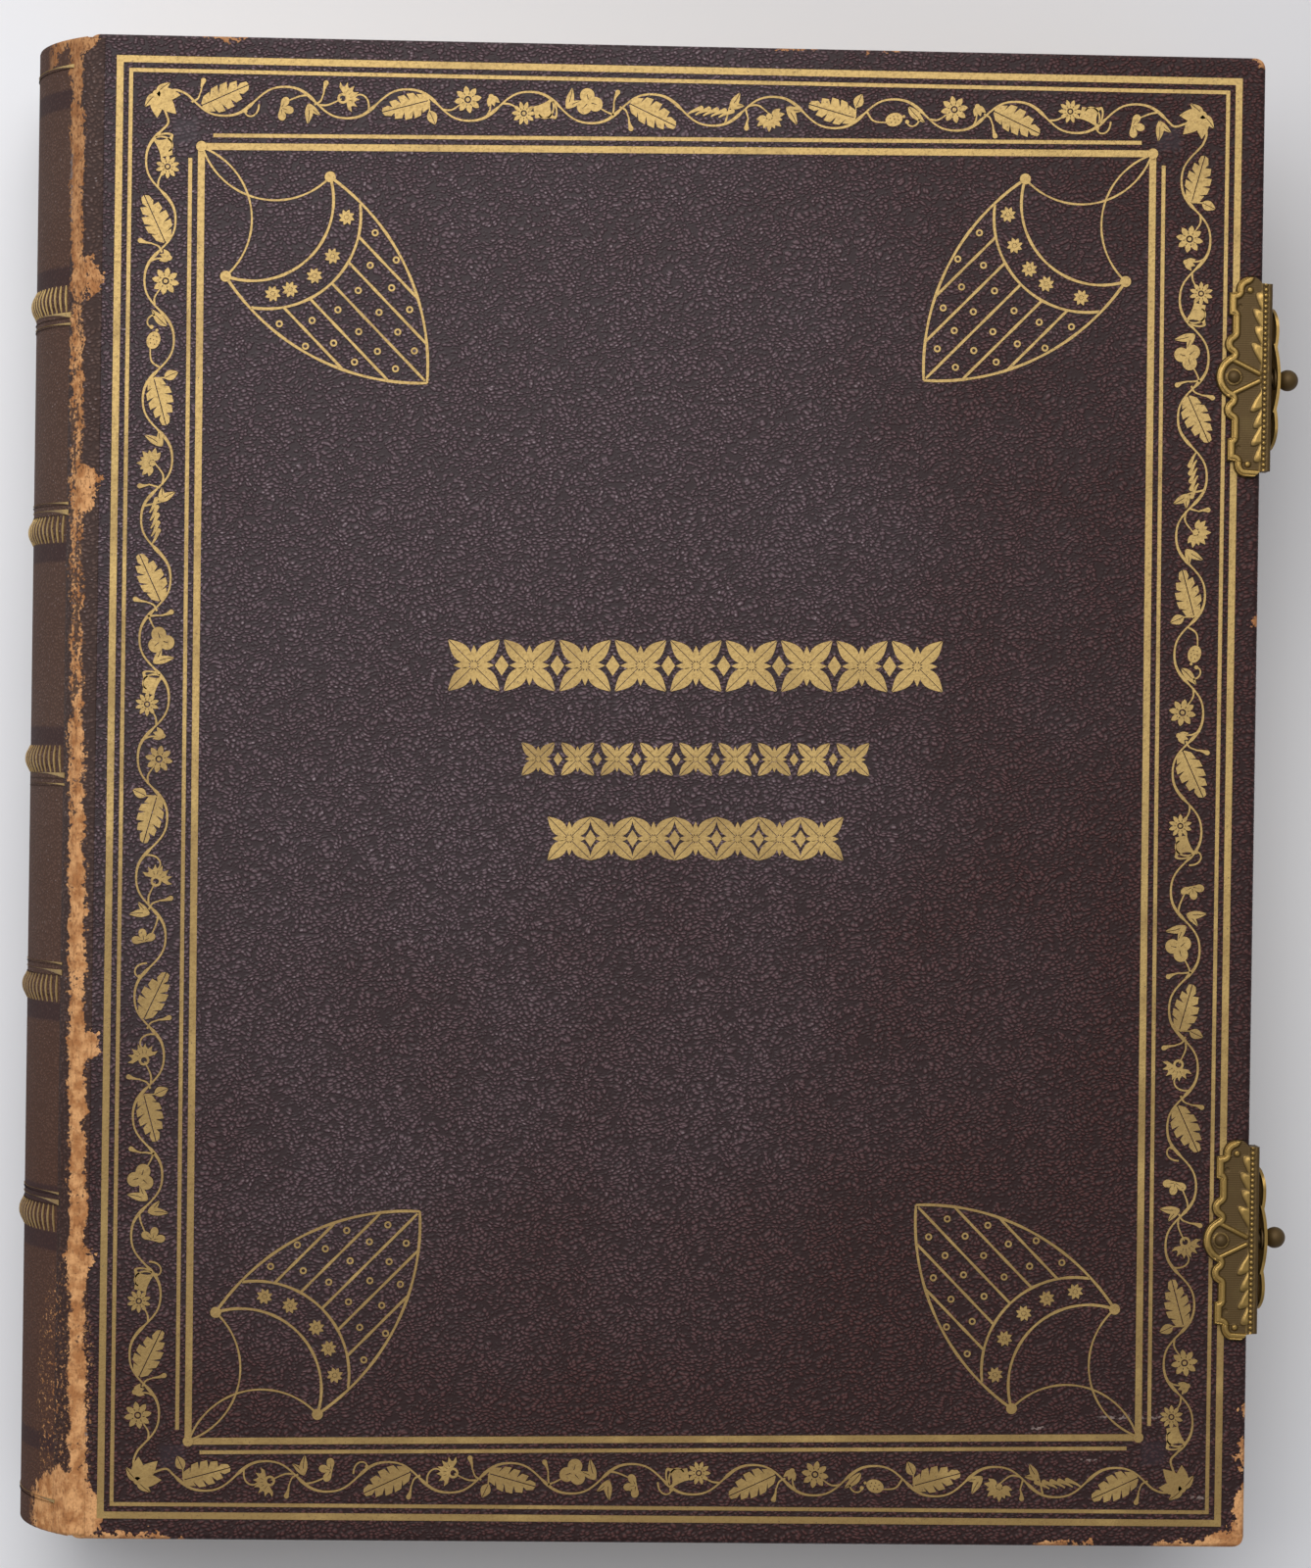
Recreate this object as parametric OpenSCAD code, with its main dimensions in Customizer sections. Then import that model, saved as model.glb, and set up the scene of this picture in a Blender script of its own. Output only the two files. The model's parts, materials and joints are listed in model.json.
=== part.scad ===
// Photo album in full leather: rounded spine with raised bands, gilt tooling on the front
// cover, thick card leaves and two hinged brass clasps on the fore-edge.
// Millimetres. +X runs to the fore-edge, +Y to the head, +Z up through the front cover.

/* [Covers] */
// Width of a cover, from the joint to the fore-edge
cover_w = 236; // [170:1:300]
// Height of a cover, from tail to head
cover_h = 300; // [240:1:380]
// Thickness of the bare board inside a cover
board_t = 4; // [3:0.1:6]
// Thickness of the leather over the board
leather_t = 0.9; // [0.6:0.1:1.4]
// Thickness of the pastedown and of the leather turned in round it
lining_t = 0.6; // [0.3:0.1:1]
// Width of the leather turned in on the inner face
turn_in_w = 15; // [8:1:25]
// Radius of a cover's corners in plan
corner_r = 2.6; // [1.5:0.1:5]
// Radius of a cover's long edges
edge_r = 1.1; // [0.4:0.1:1.5]
// Width of the crease between a cover and the spine
crease_w = 0.25; // [0.2:0.05:0.6]

/* [Leaves] */
// Thickness of all the leaves together
leaves_t = 45; // [30:1:70]
// How far the covers stand out past the leaves
square_w = 5; // [3:0.5:8]
// Number of card leaves
leaf_count = 30; // [10:1:40]
// Width of the groove between two leaves
leaf_gap = 0.3; // [0.15:0.05:0.5]
// Depth of the groove between two leaves
leaf_groove = 0.8; // [0.4:0.1:1.5]
// Depth of the hollow in the fore-edge
fore_edge_hollow = 3; // [1:0.5:6]
// Thickness of the silk-wound endbands
endband_d = 2.6; // [1.6:0.1:3]

/* [Spine] */
// How far the spine bulges out behind the joints
spine_bulge = 12; // [8:0.5:18]
// Thickness of the spine leather
spine_leather_t = 1.2; // [0.8:0.1:2]
// Thickness of the hollow paper tube between the leaves and the leather
tube_t = 2; // [1.6:0.1:3]
// Width of the hollow inside the paper tube
tube_hollow = 0.7; // [0.4:0.1:1]
// Thickness of the glue each side of the paper tube
glue_t = 0.15; // [0.1:0.01:0.2]
// How much shorter than the covers the spine is, at each end
spine_short = 0.5; // [0:0.1:2]
// Height of a raised band over the spine
band_rise = 1; // [0.5:0.1:2]
// Width of a raised band
band_w = 5; // [3:0.5:8]
// Number of raised bands
band_count = 5; // [3:1:6]
// Distance from the head of the spine to the first raised band
band_first = 52; // [40:1:60]
// Distance between raised bands
band_pitch = 46; // [32:0.5:50]
// Height short of each cover at which a raised band dies away
band_fade = 3; // [2:0.5:6]
// Thickness of the leather cap turned over the head and the tail
cap_t = 1.2; // [0.8:0.1:1.6]
// How far the cap reaches in over the endband
cap_reach = 3.5; // [2:0.5:5]
// Distance of the gilt line at the head and the tail from the spine's end
spine_end_line = 5.6; // [3:0.1:10]
// Space between a raised band and the gilt line beside it
band_line_gap = 0.8; // [0.4:0.1:2]
// Number of gilt strokes over a raised band, each side of its middle
stroke_count = 9; // [4:1:12]
// Distance between the gilt strokes, round the spine
stroke_pitch = 2.6; // [1.5:0.1:4]
// Width of a gilt stroke
stroke_w = 0.5; // [0.3:0.05:0.8]

/* [Gilt tooling] */
// Height of a gilt line or figure
gilt_t = 0.12; // [0.08:0.02:0.2]
// Depth to which the fillets are pressed in
tooling_depth = 0.2; // [0.15:0.05:0.4]
// Distance from the joint to the outer frame
frame_joint_gap = 5.7; // [4:0.1:12]
// Distance from the fore-edge to the outer frame
frame_fore_gap = 4.7; // [3:0.1:10]
// Distance from the head and the tail to the outer frame
frame_end_gap = 4.2; // [3:0.1:10]
// Width of a thick fillet
thick_line = 1.4; // [0.8:0.1:2]
// Width of a thin fillet
thin_line = 0.8; // [0.4:0.1:1.2]
// Space between a thick fillet and its thin one
line_gap = 1.1; // [0.6:0.1:2]
// Distance from the outer frame to the inner one, head and tail
panel_end_gap = 16; // [14:0.1:22]
// Distance from the outer frame to the inner one, sides
panel_side_gap = 16.8; // [14:0.1:22]
// Turn of the inner frame's head and tail lines, pressed by hand a little out of square
panel_end_tilt = 0.7; // [0:0.1:1.2]
// Turn of the inner frame's side lines
panel_side_tilt = 0.2; // [0:0.1:1.2]
// How far the inner frame's thin lines stop short of its corners
thin_line_stop = 3; // [1:0.1:5]
// Length of one bend of the vine between the frames
vine_bend = 12.1; // [9:0.1:16]
// How far the vine's stem swings to each side
vine_swing = 2.8; // [1:0.1:3]
// Width of the vine's stem
vine_stem = 0.5; // [0.4:0.1:1]
// Length of a corner shield
shield_l = 65; // [50:1:75]
// Turn of a corner shield from the head and tail lines
shield_turn = 45.5; // [40:0.5:55]
// Width of a shield's lines
shield_line = 0.6; // [0.4:0.1:1]
// Height of the flowers in the top row of the panel
row_h = 10.6; // [7:0.1:14]
// Length of the top row of flowers
row_l = 100; // [70:1:140]
// How far the rows lie to the fore-edge of the panel's middle
row_shift = 4.7; // [-10:0.1:10]

/* [Clasps] */
// Distance of the upper clasp's middle from the head
upper_clasp_gap = 64.3; // [40:0.1:80]
// Distance of the lower clasp's middle from the tail
lower_clasp_gap = 62; // [40:0.1:80]
// Length of a clasp's plates
plate_l = 40.6; // [34:0.1:50]
// Thickness of the brass plates
plate_t = 0.8; // [0.6:0.1:0.9]
// How far a plate reaches in over its cover
plate_reach = 6.9; // [5.5:0.1:8]
// How far the plate's middle lobe reaches in
lobe_reach = 9.3; // [8.5:0.1:11]
// Radius of the plate's middle lobe
lobe_r = 4.9; // [4:0.1:5.5]
// How far a plate's flange stands out past the fore-edge
flange_t = 2; // [1.6:0.1:3]
// Height of the raised rim and ribs on the catch plates
rim_rise = 0.4; // [0.2:0.1:0.6]
// Width of the raised rim
rim_w = 1.4; // [0.8:0.1:1.6]
// Diameter of the beads along the fold
bead_d = 0.9; // [0.6:0.1:1]
// Distance between the beads
bead_pitch = 1.1; // [1:0.05:1.4]
// Diameter of the rivet heads
rivet_d = 2.6; // [1.8:0.1:3.2]
// Diameter of the catch stud
stud_d = 2.4; // [1.6:0.1:3]
// How far the catch stud stands out of the flange
stud_reach = 0.6; // [0.3:0.1:0.7]
// Width of a hasp at its lobed top
hasp_w = 28.6; // [22:0.2:34]
// Thickness of the hasp
hasp_t = 0.6; // [0.4:0.1:0.7]
// How far a hasp's middle lobe stands out past its plate's flange
hasp_bulge = 2; // [1.8:0.1:4]
// Width of the strap between the lobed top and the hinge
strap_w = 11; // [9:0.5:14]
// Diameter of the ball knob
knob_d = 4.3; // [3:0.1:5]
// Length of the neck between the hasp and the knob
knob_neck_l = 0.2; // [0.1:0.1:1]
// Diameter of the knob's neck
knob_neck_d = 1.8; // [1:0.1:2.4]
// Outer diameter of the hinge knuckles
knuckle_d = 3.4; // [3:0.1:3.8]
// Diameter of the hinge pin
pin_d = 1.6; // [1:0.1:1.8]
// Running clearance round the hinge pin, on the radius
pin_clearance = 0.05; // [0.02:0.01:0.1]
// Gap between pieces that move past each other
running_gap = 0.3; // [0.25:0.05:0.5]

/* [Hidden] */
$fn = 48;
cover_t = leather_t + board_t + lining_t;
album_t = 2 * cover_t + leaves_t;
leaves_h = cover_h - 2 * square_w;
fore_x = cover_w - square_w;

// The spine is an arc through both joints.
spine_r = (pow(album_t / 2, 2) + pow(spine_bulge, 2)) / (2 * spine_bulge);
spine_cx = spine_r - spine_bulge;
spine_half = asin(album_t / 2 / spine_r) + 4;
spine_h = cover_h - 2 * spine_short;
leaves_back_r = spine_r - spine_leather_t - tube_t;

// A band's own arc is tighter, so it sinks into the leather near the covers.
fade_z = album_t / 2 - band_fade;
fade_x = spine_bulge + band_rise + spine_cx - sqrt(pow(spine_r, 2) - pow(fade_z, 2));
band_arc_r = (pow(fade_z, 2) + pow(fade_x, 2)) / (2 * fade_x);
band_cx = band_arc_r - spine_bulge - band_rise;
band_profile_r = (pow(band_w / 2, 2) + pow(band_rise, 2)) / (2 * band_rise);

// Frames on the covers.
frame_lo = [frame_joint_gap, frame_end_gap - cover_h / 2];
frame_hi = [cover_w - frame_fore_gap, cover_h / 2 - frame_end_gap];
frame_size = frame_hi - frame_lo;
frame_mid = (frame_hi + frame_lo) / 2;
panel_size = frame_size - 2 * [panel_side_gap, panel_end_gap];
pair_w = thick_line + line_gap + thin_line;
vine_mid = [(panel_side_gap - line_gap - thin_line + pair_w) / 2,
            (panel_end_gap - line_gap - thin_line + pair_w) / 2];
vine_size = frame_size - 2 * vine_mid;

// Clasps.
upper_y = cover_h / 2 - upper_clasp_gap;
lower_y = lower_clasp_gap - cover_h / 2;
plate_lap = 0.07 * flange_t;
hinge_x = cover_w + flange_t + running_gap + knuckle_d / 2;
hinge_z = knuckle_d / 2 + 0.2;
knob_z = album_t - 6;
stud_z = album_t - 3;
hasp_top = album_t - 0.6;
flange_x = cover_w + flange_t;
flange_l = plate_l - 2.8;
hasp_x = flange_x + hasp_bulge;
hasp_valley_x = flange_x + running_gap + hasp_t + 0.25 * (hasp_bulge - hasp_t);
hasp_edge_x = flange_x + running_gap + hasp_t;
hasp_valley_y = 0.22 * hasp_w;
hasp_mid_r = arc_radius(2 * hasp_valley_y, hasp_x - hasp_valley_x);
knob_x = hasp_x + knob_neck_l + knob_d / 2;
knuckle_l = strap_w - 1;
outer_knuckle_l = 5;
hinge_reach = knuckle_l / 2 + running_gap;
catch_z0 = album_t - cover_t;
keeper_d = stud_d + 2;
keeper_x = flange_x + stud_reach + running_gap;
keeper_seat_x = hasp_x - hasp_mid_r + sqrt(pow(hasp_mid_r - hasp_t, 2) - pow(keeper_d / 2, 2))
    - glue_t;
rivet_x = cover_w - lobe_reach + 3.6;

// The origin is the middle of the outer box, on the surface that the album lies on.
origin_x = (knob_x + knob_d / 2 - spine_bulge - band_rise) / 2;

CLASP_NODES = ["catch_plate", "catch_rivet", "catch_stud", "hasp", "hasp_keeper", "hasp_knob",
               "hinge_plate", "hinge_pin", "hinge_rivet"];

// ---- helpers ----

// Moves a shape from the joint's line to the album's own origin.
module placed() {
    translate([-origin_x, 0, 0]) children();
}

// A cover is drawn with its outer face down. The front one is turned over on top.
module as_front() {
    translate([0, 0, album_t]) mirror([0, 0, 1]) children();
}

// Something drawn flat with its top up, put down on the front cover.
module on_front(height = gilt_t, sink = 0) {
    translate([0, 0, album_t - sink]) linear_extrude(height) children();
}

module rounded_rect(size, r) {
    square([size[0] - 2 * r, size[1]], center = true);
    square([size[0], size[1] - 2 * r], center = true);
    for (x = [-1, 1], y = [-1, 1])
        translate([x * (size[0] / 2 - r), y * (size[1] / 2 - r)]) circle(r);
}

module frame_line(size, w) {
    difference() {
        square(size, center = true);
        square(size - 2 * [w, w], center = true);
    }
}

// A profile of radius and height, swept round the spine's axis or another one parallel to it.
module round_spine(cx, half_angle, middle = 0) {
    translate([cx, 0, album_t / 2]) rotate([-90, 0, 0])
        rotate([0, 0, 180 + middle - half_angle])
        rotate_extrude(angle = 2 * half_angle, $fn = 96) children();
}

// A round core that fills the spine's curve out to a radius.
module spine_core(r) {
    translate([spine_cx, 0, album_t / 2]) rotate([90, 0, 0])
        cylinder(h = 2 * cover_h, r = r, center = true, $fn = 96);
}

// Everything behind the crease, where the spine stops and the covers start.
module behind_crease() {
    intersection() {
        children();
        translate([-spine_bulge - 10, -cover_h, 0])
            cube([spine_bulge + 10 - crease_w / 2, 2 * cover_h, album_t]);
    }
}

// Radius of an arc from its chord and its height.
function arc_radius(chord, height) = (chord * chord / 4 + height * height) / (2 * height);

function polar(a) = [cos(a), sin(a)];

// Puts a shape drawn along +X, from the origin, on the way from p to q.
module along(p, q) {
    translate(p) rotate(atan2(q[1] - p[1], q[0] - p[0])) children();
}

module straight_line(p, q, w) {
    along(p, q) translate([0, -w / 2]) square([norm(q - p), w]);
}

// A strip of width w from p to q, whose outer edge is an arc that rises to the left. It may
// run on past p and q by an overrun, along the same arc.
module curved_strip(p, q, rise, w, overrun = 0) {
    chord = norm(q - p);
    r = arc_radius(chord, rise);
    along(p, q) intersection() {
        translate([chord / 2, rise - r]) difference() {
            circle(r, $fn = 96);
            circle(r - w, $fn = 96);
        }
        translate([-overrun, -2 * w]) square([chord + 2 * overrun, rise + 3 * w]);
    }
}

// A line of width w whose middle runs from p to q on an arc that rises to the left.
module curved_line(p, q, rise, w) {
    chord = norm(q - p);
    r = arc_radius(chord, rise);
    along(p, q) intersection() {
        translate([chord / 2, rise - r]) difference() {
            circle(r + w / 2, $fn = 96);
            circle(r - w / 2, $fn = 96);
        }
        translate([0, -2 * w]) square([chord, rise + 3 * w]);
    }
}

// ---- leaves ----

module leaves_outline(inset) {
    x = fore_x - inset;
    hollow_r = (pow(leaves_t / 2, 2) + pow(fore_edge_hollow, 2)) / (2 * fore_edge_hollow);
    difference() {
        union() {
            intersection() {
                circle(leaves_back_r, $fn = 96);
                square([3 * leaves_back_r, leaves_t], center = true);
            }
            translate([0, -leaves_t / 2]) square([x - spine_cx, leaves_t]);
        }
        translate([x - spine_cx + hollow_r - fore_edge_hollow, 0]) circle(hollow_r, $fn = 96);
    }
}

module leaves_form(inset) {
    translate([spine_cx, 0, album_t / 2]) rotate([90, 0, 0])
        linear_extrude(leaves_h - 2 * inset, center = true) leaves_outline(inset);
}

module page_block() {
    leaf_pitch = leaves_t / leaf_count;
    color("burlywood") placed() union() {
        leaves_form(leaf_groove);
        difference() {
            leaves_form(0);
            for (i = [1:leaf_count - 1])
                translate([-cover_w, -cover_h, cover_t + i * leaf_pitch - leaf_gap / 2])
                    cube([3 * cover_w, 2 * cover_h, leaf_gap]);
        }
    }
}

// Silk wound on a cord, along the back of the leaves at the head or the tail.
module endband(end) {
    half_angle = asin((leaves_t / 2 - endband_d / 2) / leaves_back_r);
    color("firebrick") placed() translate([0, end * (leaves_h + endband_d) / 2, 0])
        round_spine(spine_cx, half_angle) translate([leaves_back_r - endband_d / 2, 0])
            circle(endband_d / 2);
}

module head_band() {
    endband(1);
}

module tail_band() {
    endband(-1);
}

// ---- spine ----

module spine_tube() {
    tube_h = spine_h - 2 * cap_t;
    hollow_half = spine_half - 10;
    color("tan") placed() behind_crease() difference() {
        round_spine(spine_cx, spine_half)
            translate([leaves_back_r + glue_t, -tube_h / 2])
                square([tube_t - 2 * glue_t, tube_h]);
        round_spine(spine_cx, hollow_half)
            translate([leaves_back_r + (tube_t - tube_hollow) / 2, -tube_h])
                square([tube_hollow, 2 * tube_h]);
    }
}

function band_y(i) = spine_h / 2 - band_first - i * band_pitch;

module spine_leather() {
    wall_in = spine_r - spine_leather_t;
    lip_in = wall_in - cap_reach;
    color([0.3, 0.2, 0.16]) placed() behind_crease() union() {
        round_spine(spine_cx, spine_half)
            translate([wall_in, cap_t - spine_h / 2])
                square([spine_leather_t, spine_h - 2 * cap_t]);
        for (end = [-1, 1]) round_spine(spine_cx, spine_half)
            translate([0, end * (spine_h - cap_t) / 2]) {
                translate([lip_in, -cap_t / 2])
                    square([spine_r - lip_in - cap_t / 2, cap_t]);
                translate([spine_r - cap_t / 2, 0]) circle(cap_t / 2);
                translate([wall_in, -max(0, end) * cap_t / 2])
                    square([spine_leather_t, cap_t / 2]);
            }
        difference() {
            for (i = [0:band_count - 1]) round_spine(band_cx, spine_half)
                translate([band_arc_r - band_profile_r, band_y(i)]) intersection() {
                    circle(band_profile_r);
                    translate([band_profile_r - band_rise - spine_leather_t / 2, -band_w])
                        square([band_w, 2 * band_w]);
                }
            spine_core(spine_r - spine_leather_t / 2);
        }
    }
}

// A gilt line round the spine.
module spine_line(y, w) {
    round_spine(spine_cx, asin((album_t / 2 - band_fade) / spine_r))
        translate([spine_r, y - w / 2]) square([gilt_t, w]);
}

// Gilt strokes laid side by side over a raised band, on a film of size. They stop where the
// band dies away into the spine.
module band_strokes(i) {
    stroke_half = asin(stroke_w / 2 / band_arc_r);
    film = gilt_t / 2;
    difference() {
        for (k = [-stroke_count:stroke_count])
            round_spine(band_cx, stroke_half, 2 * asin(k * stroke_pitch / 2 / band_arc_r))
                translate([band_arc_r - band_profile_r, band_y(i)]) intersection() {
                    difference() {
                        circle(band_profile_r + film + gilt_t);
                        circle(band_profile_r + film);
                    }
                    translate([0, -0.4 * band_w]) square([2 * band_profile_r, 0.8 * band_w]);
                }
        spine_core(spine_r + film);
    }
}

// Gilt lines at the spine's ends, and beside each band a thick line and a thin one. The
// bands are gilt over with strokes.
module spine_gilding() {
    thick_off = band_w / 2 + band_line_gap + thick_line / 2;
    thin_off = thick_off + thick_line / 2 + line_gap + thin_line / 2;
    color("gold") placed() {
        for (end = [-1, 1]) spine_line(end * (spine_h / 2 - spine_end_line), thin_line);
        for (i = [0:band_count - 1]) {
            side = i % 2 == 0 ? -1 : 1;
            spine_line(band_y(i) + side * thick_off, thick_line);
            spine_line(band_y(i) + side * thin_off, thin_line);
            band_strokes(i);
        }
    }
}

// ---- covers, drawn with the outer face down ----

// The leather-covered slab, rounded at its corners and along its edges.
module cover_form() {
    w = cover_w - crease_w / 2;
    translate([crease_w / 2 + w / 2, 0, cover_t / 2]) intersection() {
        linear_extrude(cover_t, center = true) rounded_rect([w, cover_h], corner_r);
        rotate([90, 0, 0]) linear_extrude(cover_h, center = true)
            rounded_rect([w, cover_t], edge_r);
        rotate([90, 0, 90]) linear_extrude(w, center = true)
            rounded_rect([cover_h, cover_t], edge_r);
    }
}

module board_form() {
    translate([crease_w / 2 + leather_t, leather_t - cover_h / 2, leather_t])
        cube([cover_w - crease_w / 2 - 2 * leather_t, cover_h - 2 * leather_t, board_t]);
}

module pastedown_form() {
    x = crease_w / 2 + leather_t;
    translate([x, turn_in_w - cover_h / 2, leather_t + board_t])
        cube([cover_w - turn_in_w - x, cover_h - 2 * turn_in_w, lining_t]);
}

// The double line round the edge: a thick fillet outside and a thin one inside.
module outer_fillets() {
    translate(frame_mid) {
        frame_line(frame_size, thick_line);
        frame_line(frame_size - 2 * (thick_line + line_gap) * [1, 1], thin_line);
    }
}

// Where a point of a square panel comes to lie on the one pressed out of square.
function on_panel(p) = [p[0] - tan(panel_side_tilt) * p[1], p[1] + tan(panel_end_tilt) * p[0]];

module panel_form(size) {
    polygon([for (s = [[-1, -1], [1, -1], [1, 1], [-1, 1]])
        on_panel([s[0] * size[0], s[1] * size[1]] / 2)]);
}

// The inner panel's double line, with the thin fillet outside and broken at the corners.
module inner_fillets() {
    half = panel_size / 2;
    out = half + (line_gap + thin_line / 2) * [1, 1];
    stop = half - thin_line_stop * [1, 1];
    translate(frame_mid) {
        difference() {
            panel_form(panel_size);
            panel_form(panel_size - 2 * thick_line * [1, 1]);
        }
        for (s = [-1, 1]) {
            straight_line(on_panel([-stop[0], s * out[1]]), on_panel([stop[0], s * out[1]]),
                          thin_line);
            straight_line(on_panel([s * out[0], -stop[1]]), on_panel([s * out[0], stop[1]]),
                          thin_line);
        }
    }
}

// The blind line that panels the back cover.
module back_fillets() {
    translate(frame_mid) {
        frame_line(frame_size, thick_line);
        frame_line(frame_size - 2 * [panel_side_gap, panel_end_gap], thin_line);
    }
}

module board_cover() {
    color("tan") board_form();
}

module pastedown() {
    color("ivory") pastedown_form();
}

module front_board() {
    placed() as_front() board_cover();
}

module front_pastedown() {
    placed() as_front() pastedown();
}

module front_leather() {
    color([0.28, 0.24, 0.26]) placed() difference() {
        as_front() difference() {
            cover_form();
            board_form();
            pastedown_form();
        }
        on_front(2 * tooling_depth, tooling_depth) outer_fillets();
        on_front(2 * tooling_depth, tooling_depth) inner_fillets();
    }
}

// Holes for the hinge plates' rivets.
module rivet_holes() {
    for (y = [upper_y, lower_y]) translate([rivet_x, y, 0])
        cylinder(h = 2 * cover_t, d = rivet_d / 2);
}

module back_board() {
    placed() difference() {
        board_cover();
        rivet_holes();
    }
}

module back_pastedown() {
    placed() pastedown();
}

module back_leather() {
    color([0.28, 0.24, 0.26]) placed() difference() {
        cover_form();
        board_form();
        pastedown_form();
        translate([0, 0, -tooling_depth]) linear_extrude(2 * tooling_depth) back_fillets();
        rivet_holes();
        for (y = [upper_y, lower_y]) translate([0, y, -plate_t]) linear_extrude(2 * plate_t)
            plate_outline(0);
    }
}

// ---- gilt tooling on the front cover ----

module front_gilt_fillets() {
    color("gold") placed() {
        on_front(gilt_t, tooling_depth) outer_fillets();
        on_front(gilt_t, tooling_depth) inner_fillets();
    }
}

// A pointed leaf from the origin along +X.
module leaf(l, w) {
    r = arc_radius(l, w / 2);
    intersection() {
        translate([l / 2, w / 2 - r]) circle(r);
        translate([l / 2, r - w / 2]) circle(r);
    }
}

// A flower with pointed petals.
module blossom(r, petals) {
    polygon([for (i = [0:2 * petals - 1]) r * (i % 2 == 0 ? 1 : 0.55) * polar(180 * i / petals)]);
}

// A flower with pointed petals and a ring round its eye.
module daisy(r, petals) {
    difference() {
        blossom(r, petals);
        circle(0.36 * r);
    }
    circle(0.2 * r);
}

// Three round petals.
module pansy(r) {
    for (a = [90, 210, 330]) translate(0.45 * r * polar(a)) circle(0.5 * r);
}

// A saw-edged leaf from the origin along +X.
module saw_leaf(l, w, teeth) {
    edge = [for (i = [0:teeth - 1], far = [0.62, 1])
        let (t = (i + far) / (teeth + 0.6)) [l * t, w / 2 * far * sin(180 * pow(t, 0.8))]];
    mirrored = [for (i = [len(edge) - 1:-1:0]) [edge[i][0], -edge[i][1]]];
    polygon(concat([[0, 0]], edge, [[l, 0]], mirrored));
}

// A stalk from p to a knot at q, with something growing out of it, turned by an angle.
module on_stalk(p, q, turn = 0) {
    straight_line(p, q, vine_stem);
    translate(q) {
        circle(0.7 * vine_stem);
        rotate(turn) children();
    }
}

// What grows in one bend of the vine, which swings to +Y from the origin along +X.
module vine_growth(l, kind) {
    top = [0.5 * l, vine_swing];
    left = [0.16 * l, 0.55 * vine_swing];
    right = [0.84 * l, 0.55 * vine_swing];
    bloom = [0.5 * l, -0.3 * vine_swing];
    if (kind == 0) {
        on_stalk(top, bloom + [0, 1.6]) translate([0, -1.6]) daisy(2.7, 8);
        on_stalk(right, right + [0.9, 1.5], 65) leaf(2.6, 1.4);
    } else if (kind == 1) {
        on_stalk(left, left + [0.5, -1.4], -8) saw_leaf(0.78 * l, 4.6, 4);
    } else if (kind == 2) {
        on_stalk(top, bloom, 20) pansy(2.7);
        on_stalk(left, left + [-0.5, 1.4], 100) leaf(2.6, 1.3);
    } else {
        on_stalk(top, bloom - [0, 0.3], -90) saw_leaf(3.4, 3, 3);
        on_stalk(right, right + [0.4, 1.3], 75) circle(0.8);
    }
}

// The vine along one side of the border, with whole bends, alternating side to side.
module vine_side(l) {
    count = 2 * round(l / vine_bend / 2);
    step = l / count;
    for (i = [0:count - 1]) translate([i * step - l / 2, 0]) mirror([0, i % 2]) {
        curved_line([0, 0], [step, 0], vine_swing, vine_stem);
        circle(vine_stem);
        vine_growth(step, floor(1.5 * i) % 4);
    }
}

// The vine turns each corner on a quarter circle, with a bloom on it.
module front_gilt_vine() {
    corner = 9;
    color("gold") placed() on_front() translate(frame_mid) {
        for (s = [0, 180]) rotate(s) {
            translate([0, vine_size[1] / 2]) vine_side(vine_size[0] - 2 * corner);
            translate([vine_size[0] / 2, 0]) rotate(90) vine_side(vine_size[1] - 2 * corner);
        }
        for (x = [0, 1], y = [0, 1]) mirror([x, 0]) mirror([0, y])
            translate(vine_size / 2 - [corner, corner]) {
                curved_line([0, corner], [corner, 0], corner * (1 - sqrt(0.5)), vine_stem);
                translate([0, corner]) circle(vine_stem);
                translate([corner, 0]) circle(vine_stem);
                translate([corner, corner] * 0.75) rotate(45) blossom(3.4, 5);
            }
    }
}

// A shield hung from the corner by two crossed loops, with a starred chief and a striped
// field. It is drawn at full size with its point at the end of +X, and the stars stand
// at these distances to each side.
module shield(stars) {
    tip = [65, 0];
    ear = [22, 14.4];
    ear_r = 1.1;
    side_rise = 6;
    loop_rise = 7.4;
    chief_rise = 8.8;
    chief_end = [29.8, 14.8];
    chief_apex = 37.2;
    stripe_v = 5.2;
    star_rise = (chief_rise + chief_apex - chief_end[0]) / 2;
    star_r = arc_radius(ear[1] + chief_end[1], star_rise);
    star_u = (ear[0] + chief_end[0]) / 2 + star_rise - star_r;
    unit_l = shield_l / tip[0];
    line = shield_line / unit_l;
    scale([unit_l, unit_l]) {
        for (m = [0, 1]) mirror([0, m]) {
            curved_strip(ear, tip, side_rise, line);
            curved_strip(ear, [0.6, 0], loop_rise, 0.75 * line);
            translate(ear) circle(ear_r);
            for (k = [1, 2])
                straight_line([chief_apex - 0.9 * k * k, k * stripe_v],
                              [tip[0] - 3.2 * k * k + 0.6 * k - 2.6, k * stripe_v], line);
            for (k = [0:2], j = [0:3 - k]) translate([42 - k * k + 5.5 * j, (k + 0.5) * stripe_v])
                circle(0.8);
        }
        curved_strip([ear[0], ear[1] - 1], [ear[0], 1 - ear[1]], chief_rise, line);
        curved_strip(chief_end, [chief_end[0], -chief_end[1]], chief_apex - chief_end[0], line);
        straight_line([chief_apex, 0], tip - [1.6, 0], line);
        translate([1, 0]) circle(1.5 * line);
        translate(tip - [0.8 * line, 0]) circle(1.3 * line);
        for (v = stars) translate([star_u + sqrt(star_r * star_r - v * v), v]) blossom(1.5, 8);
    }
}

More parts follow.
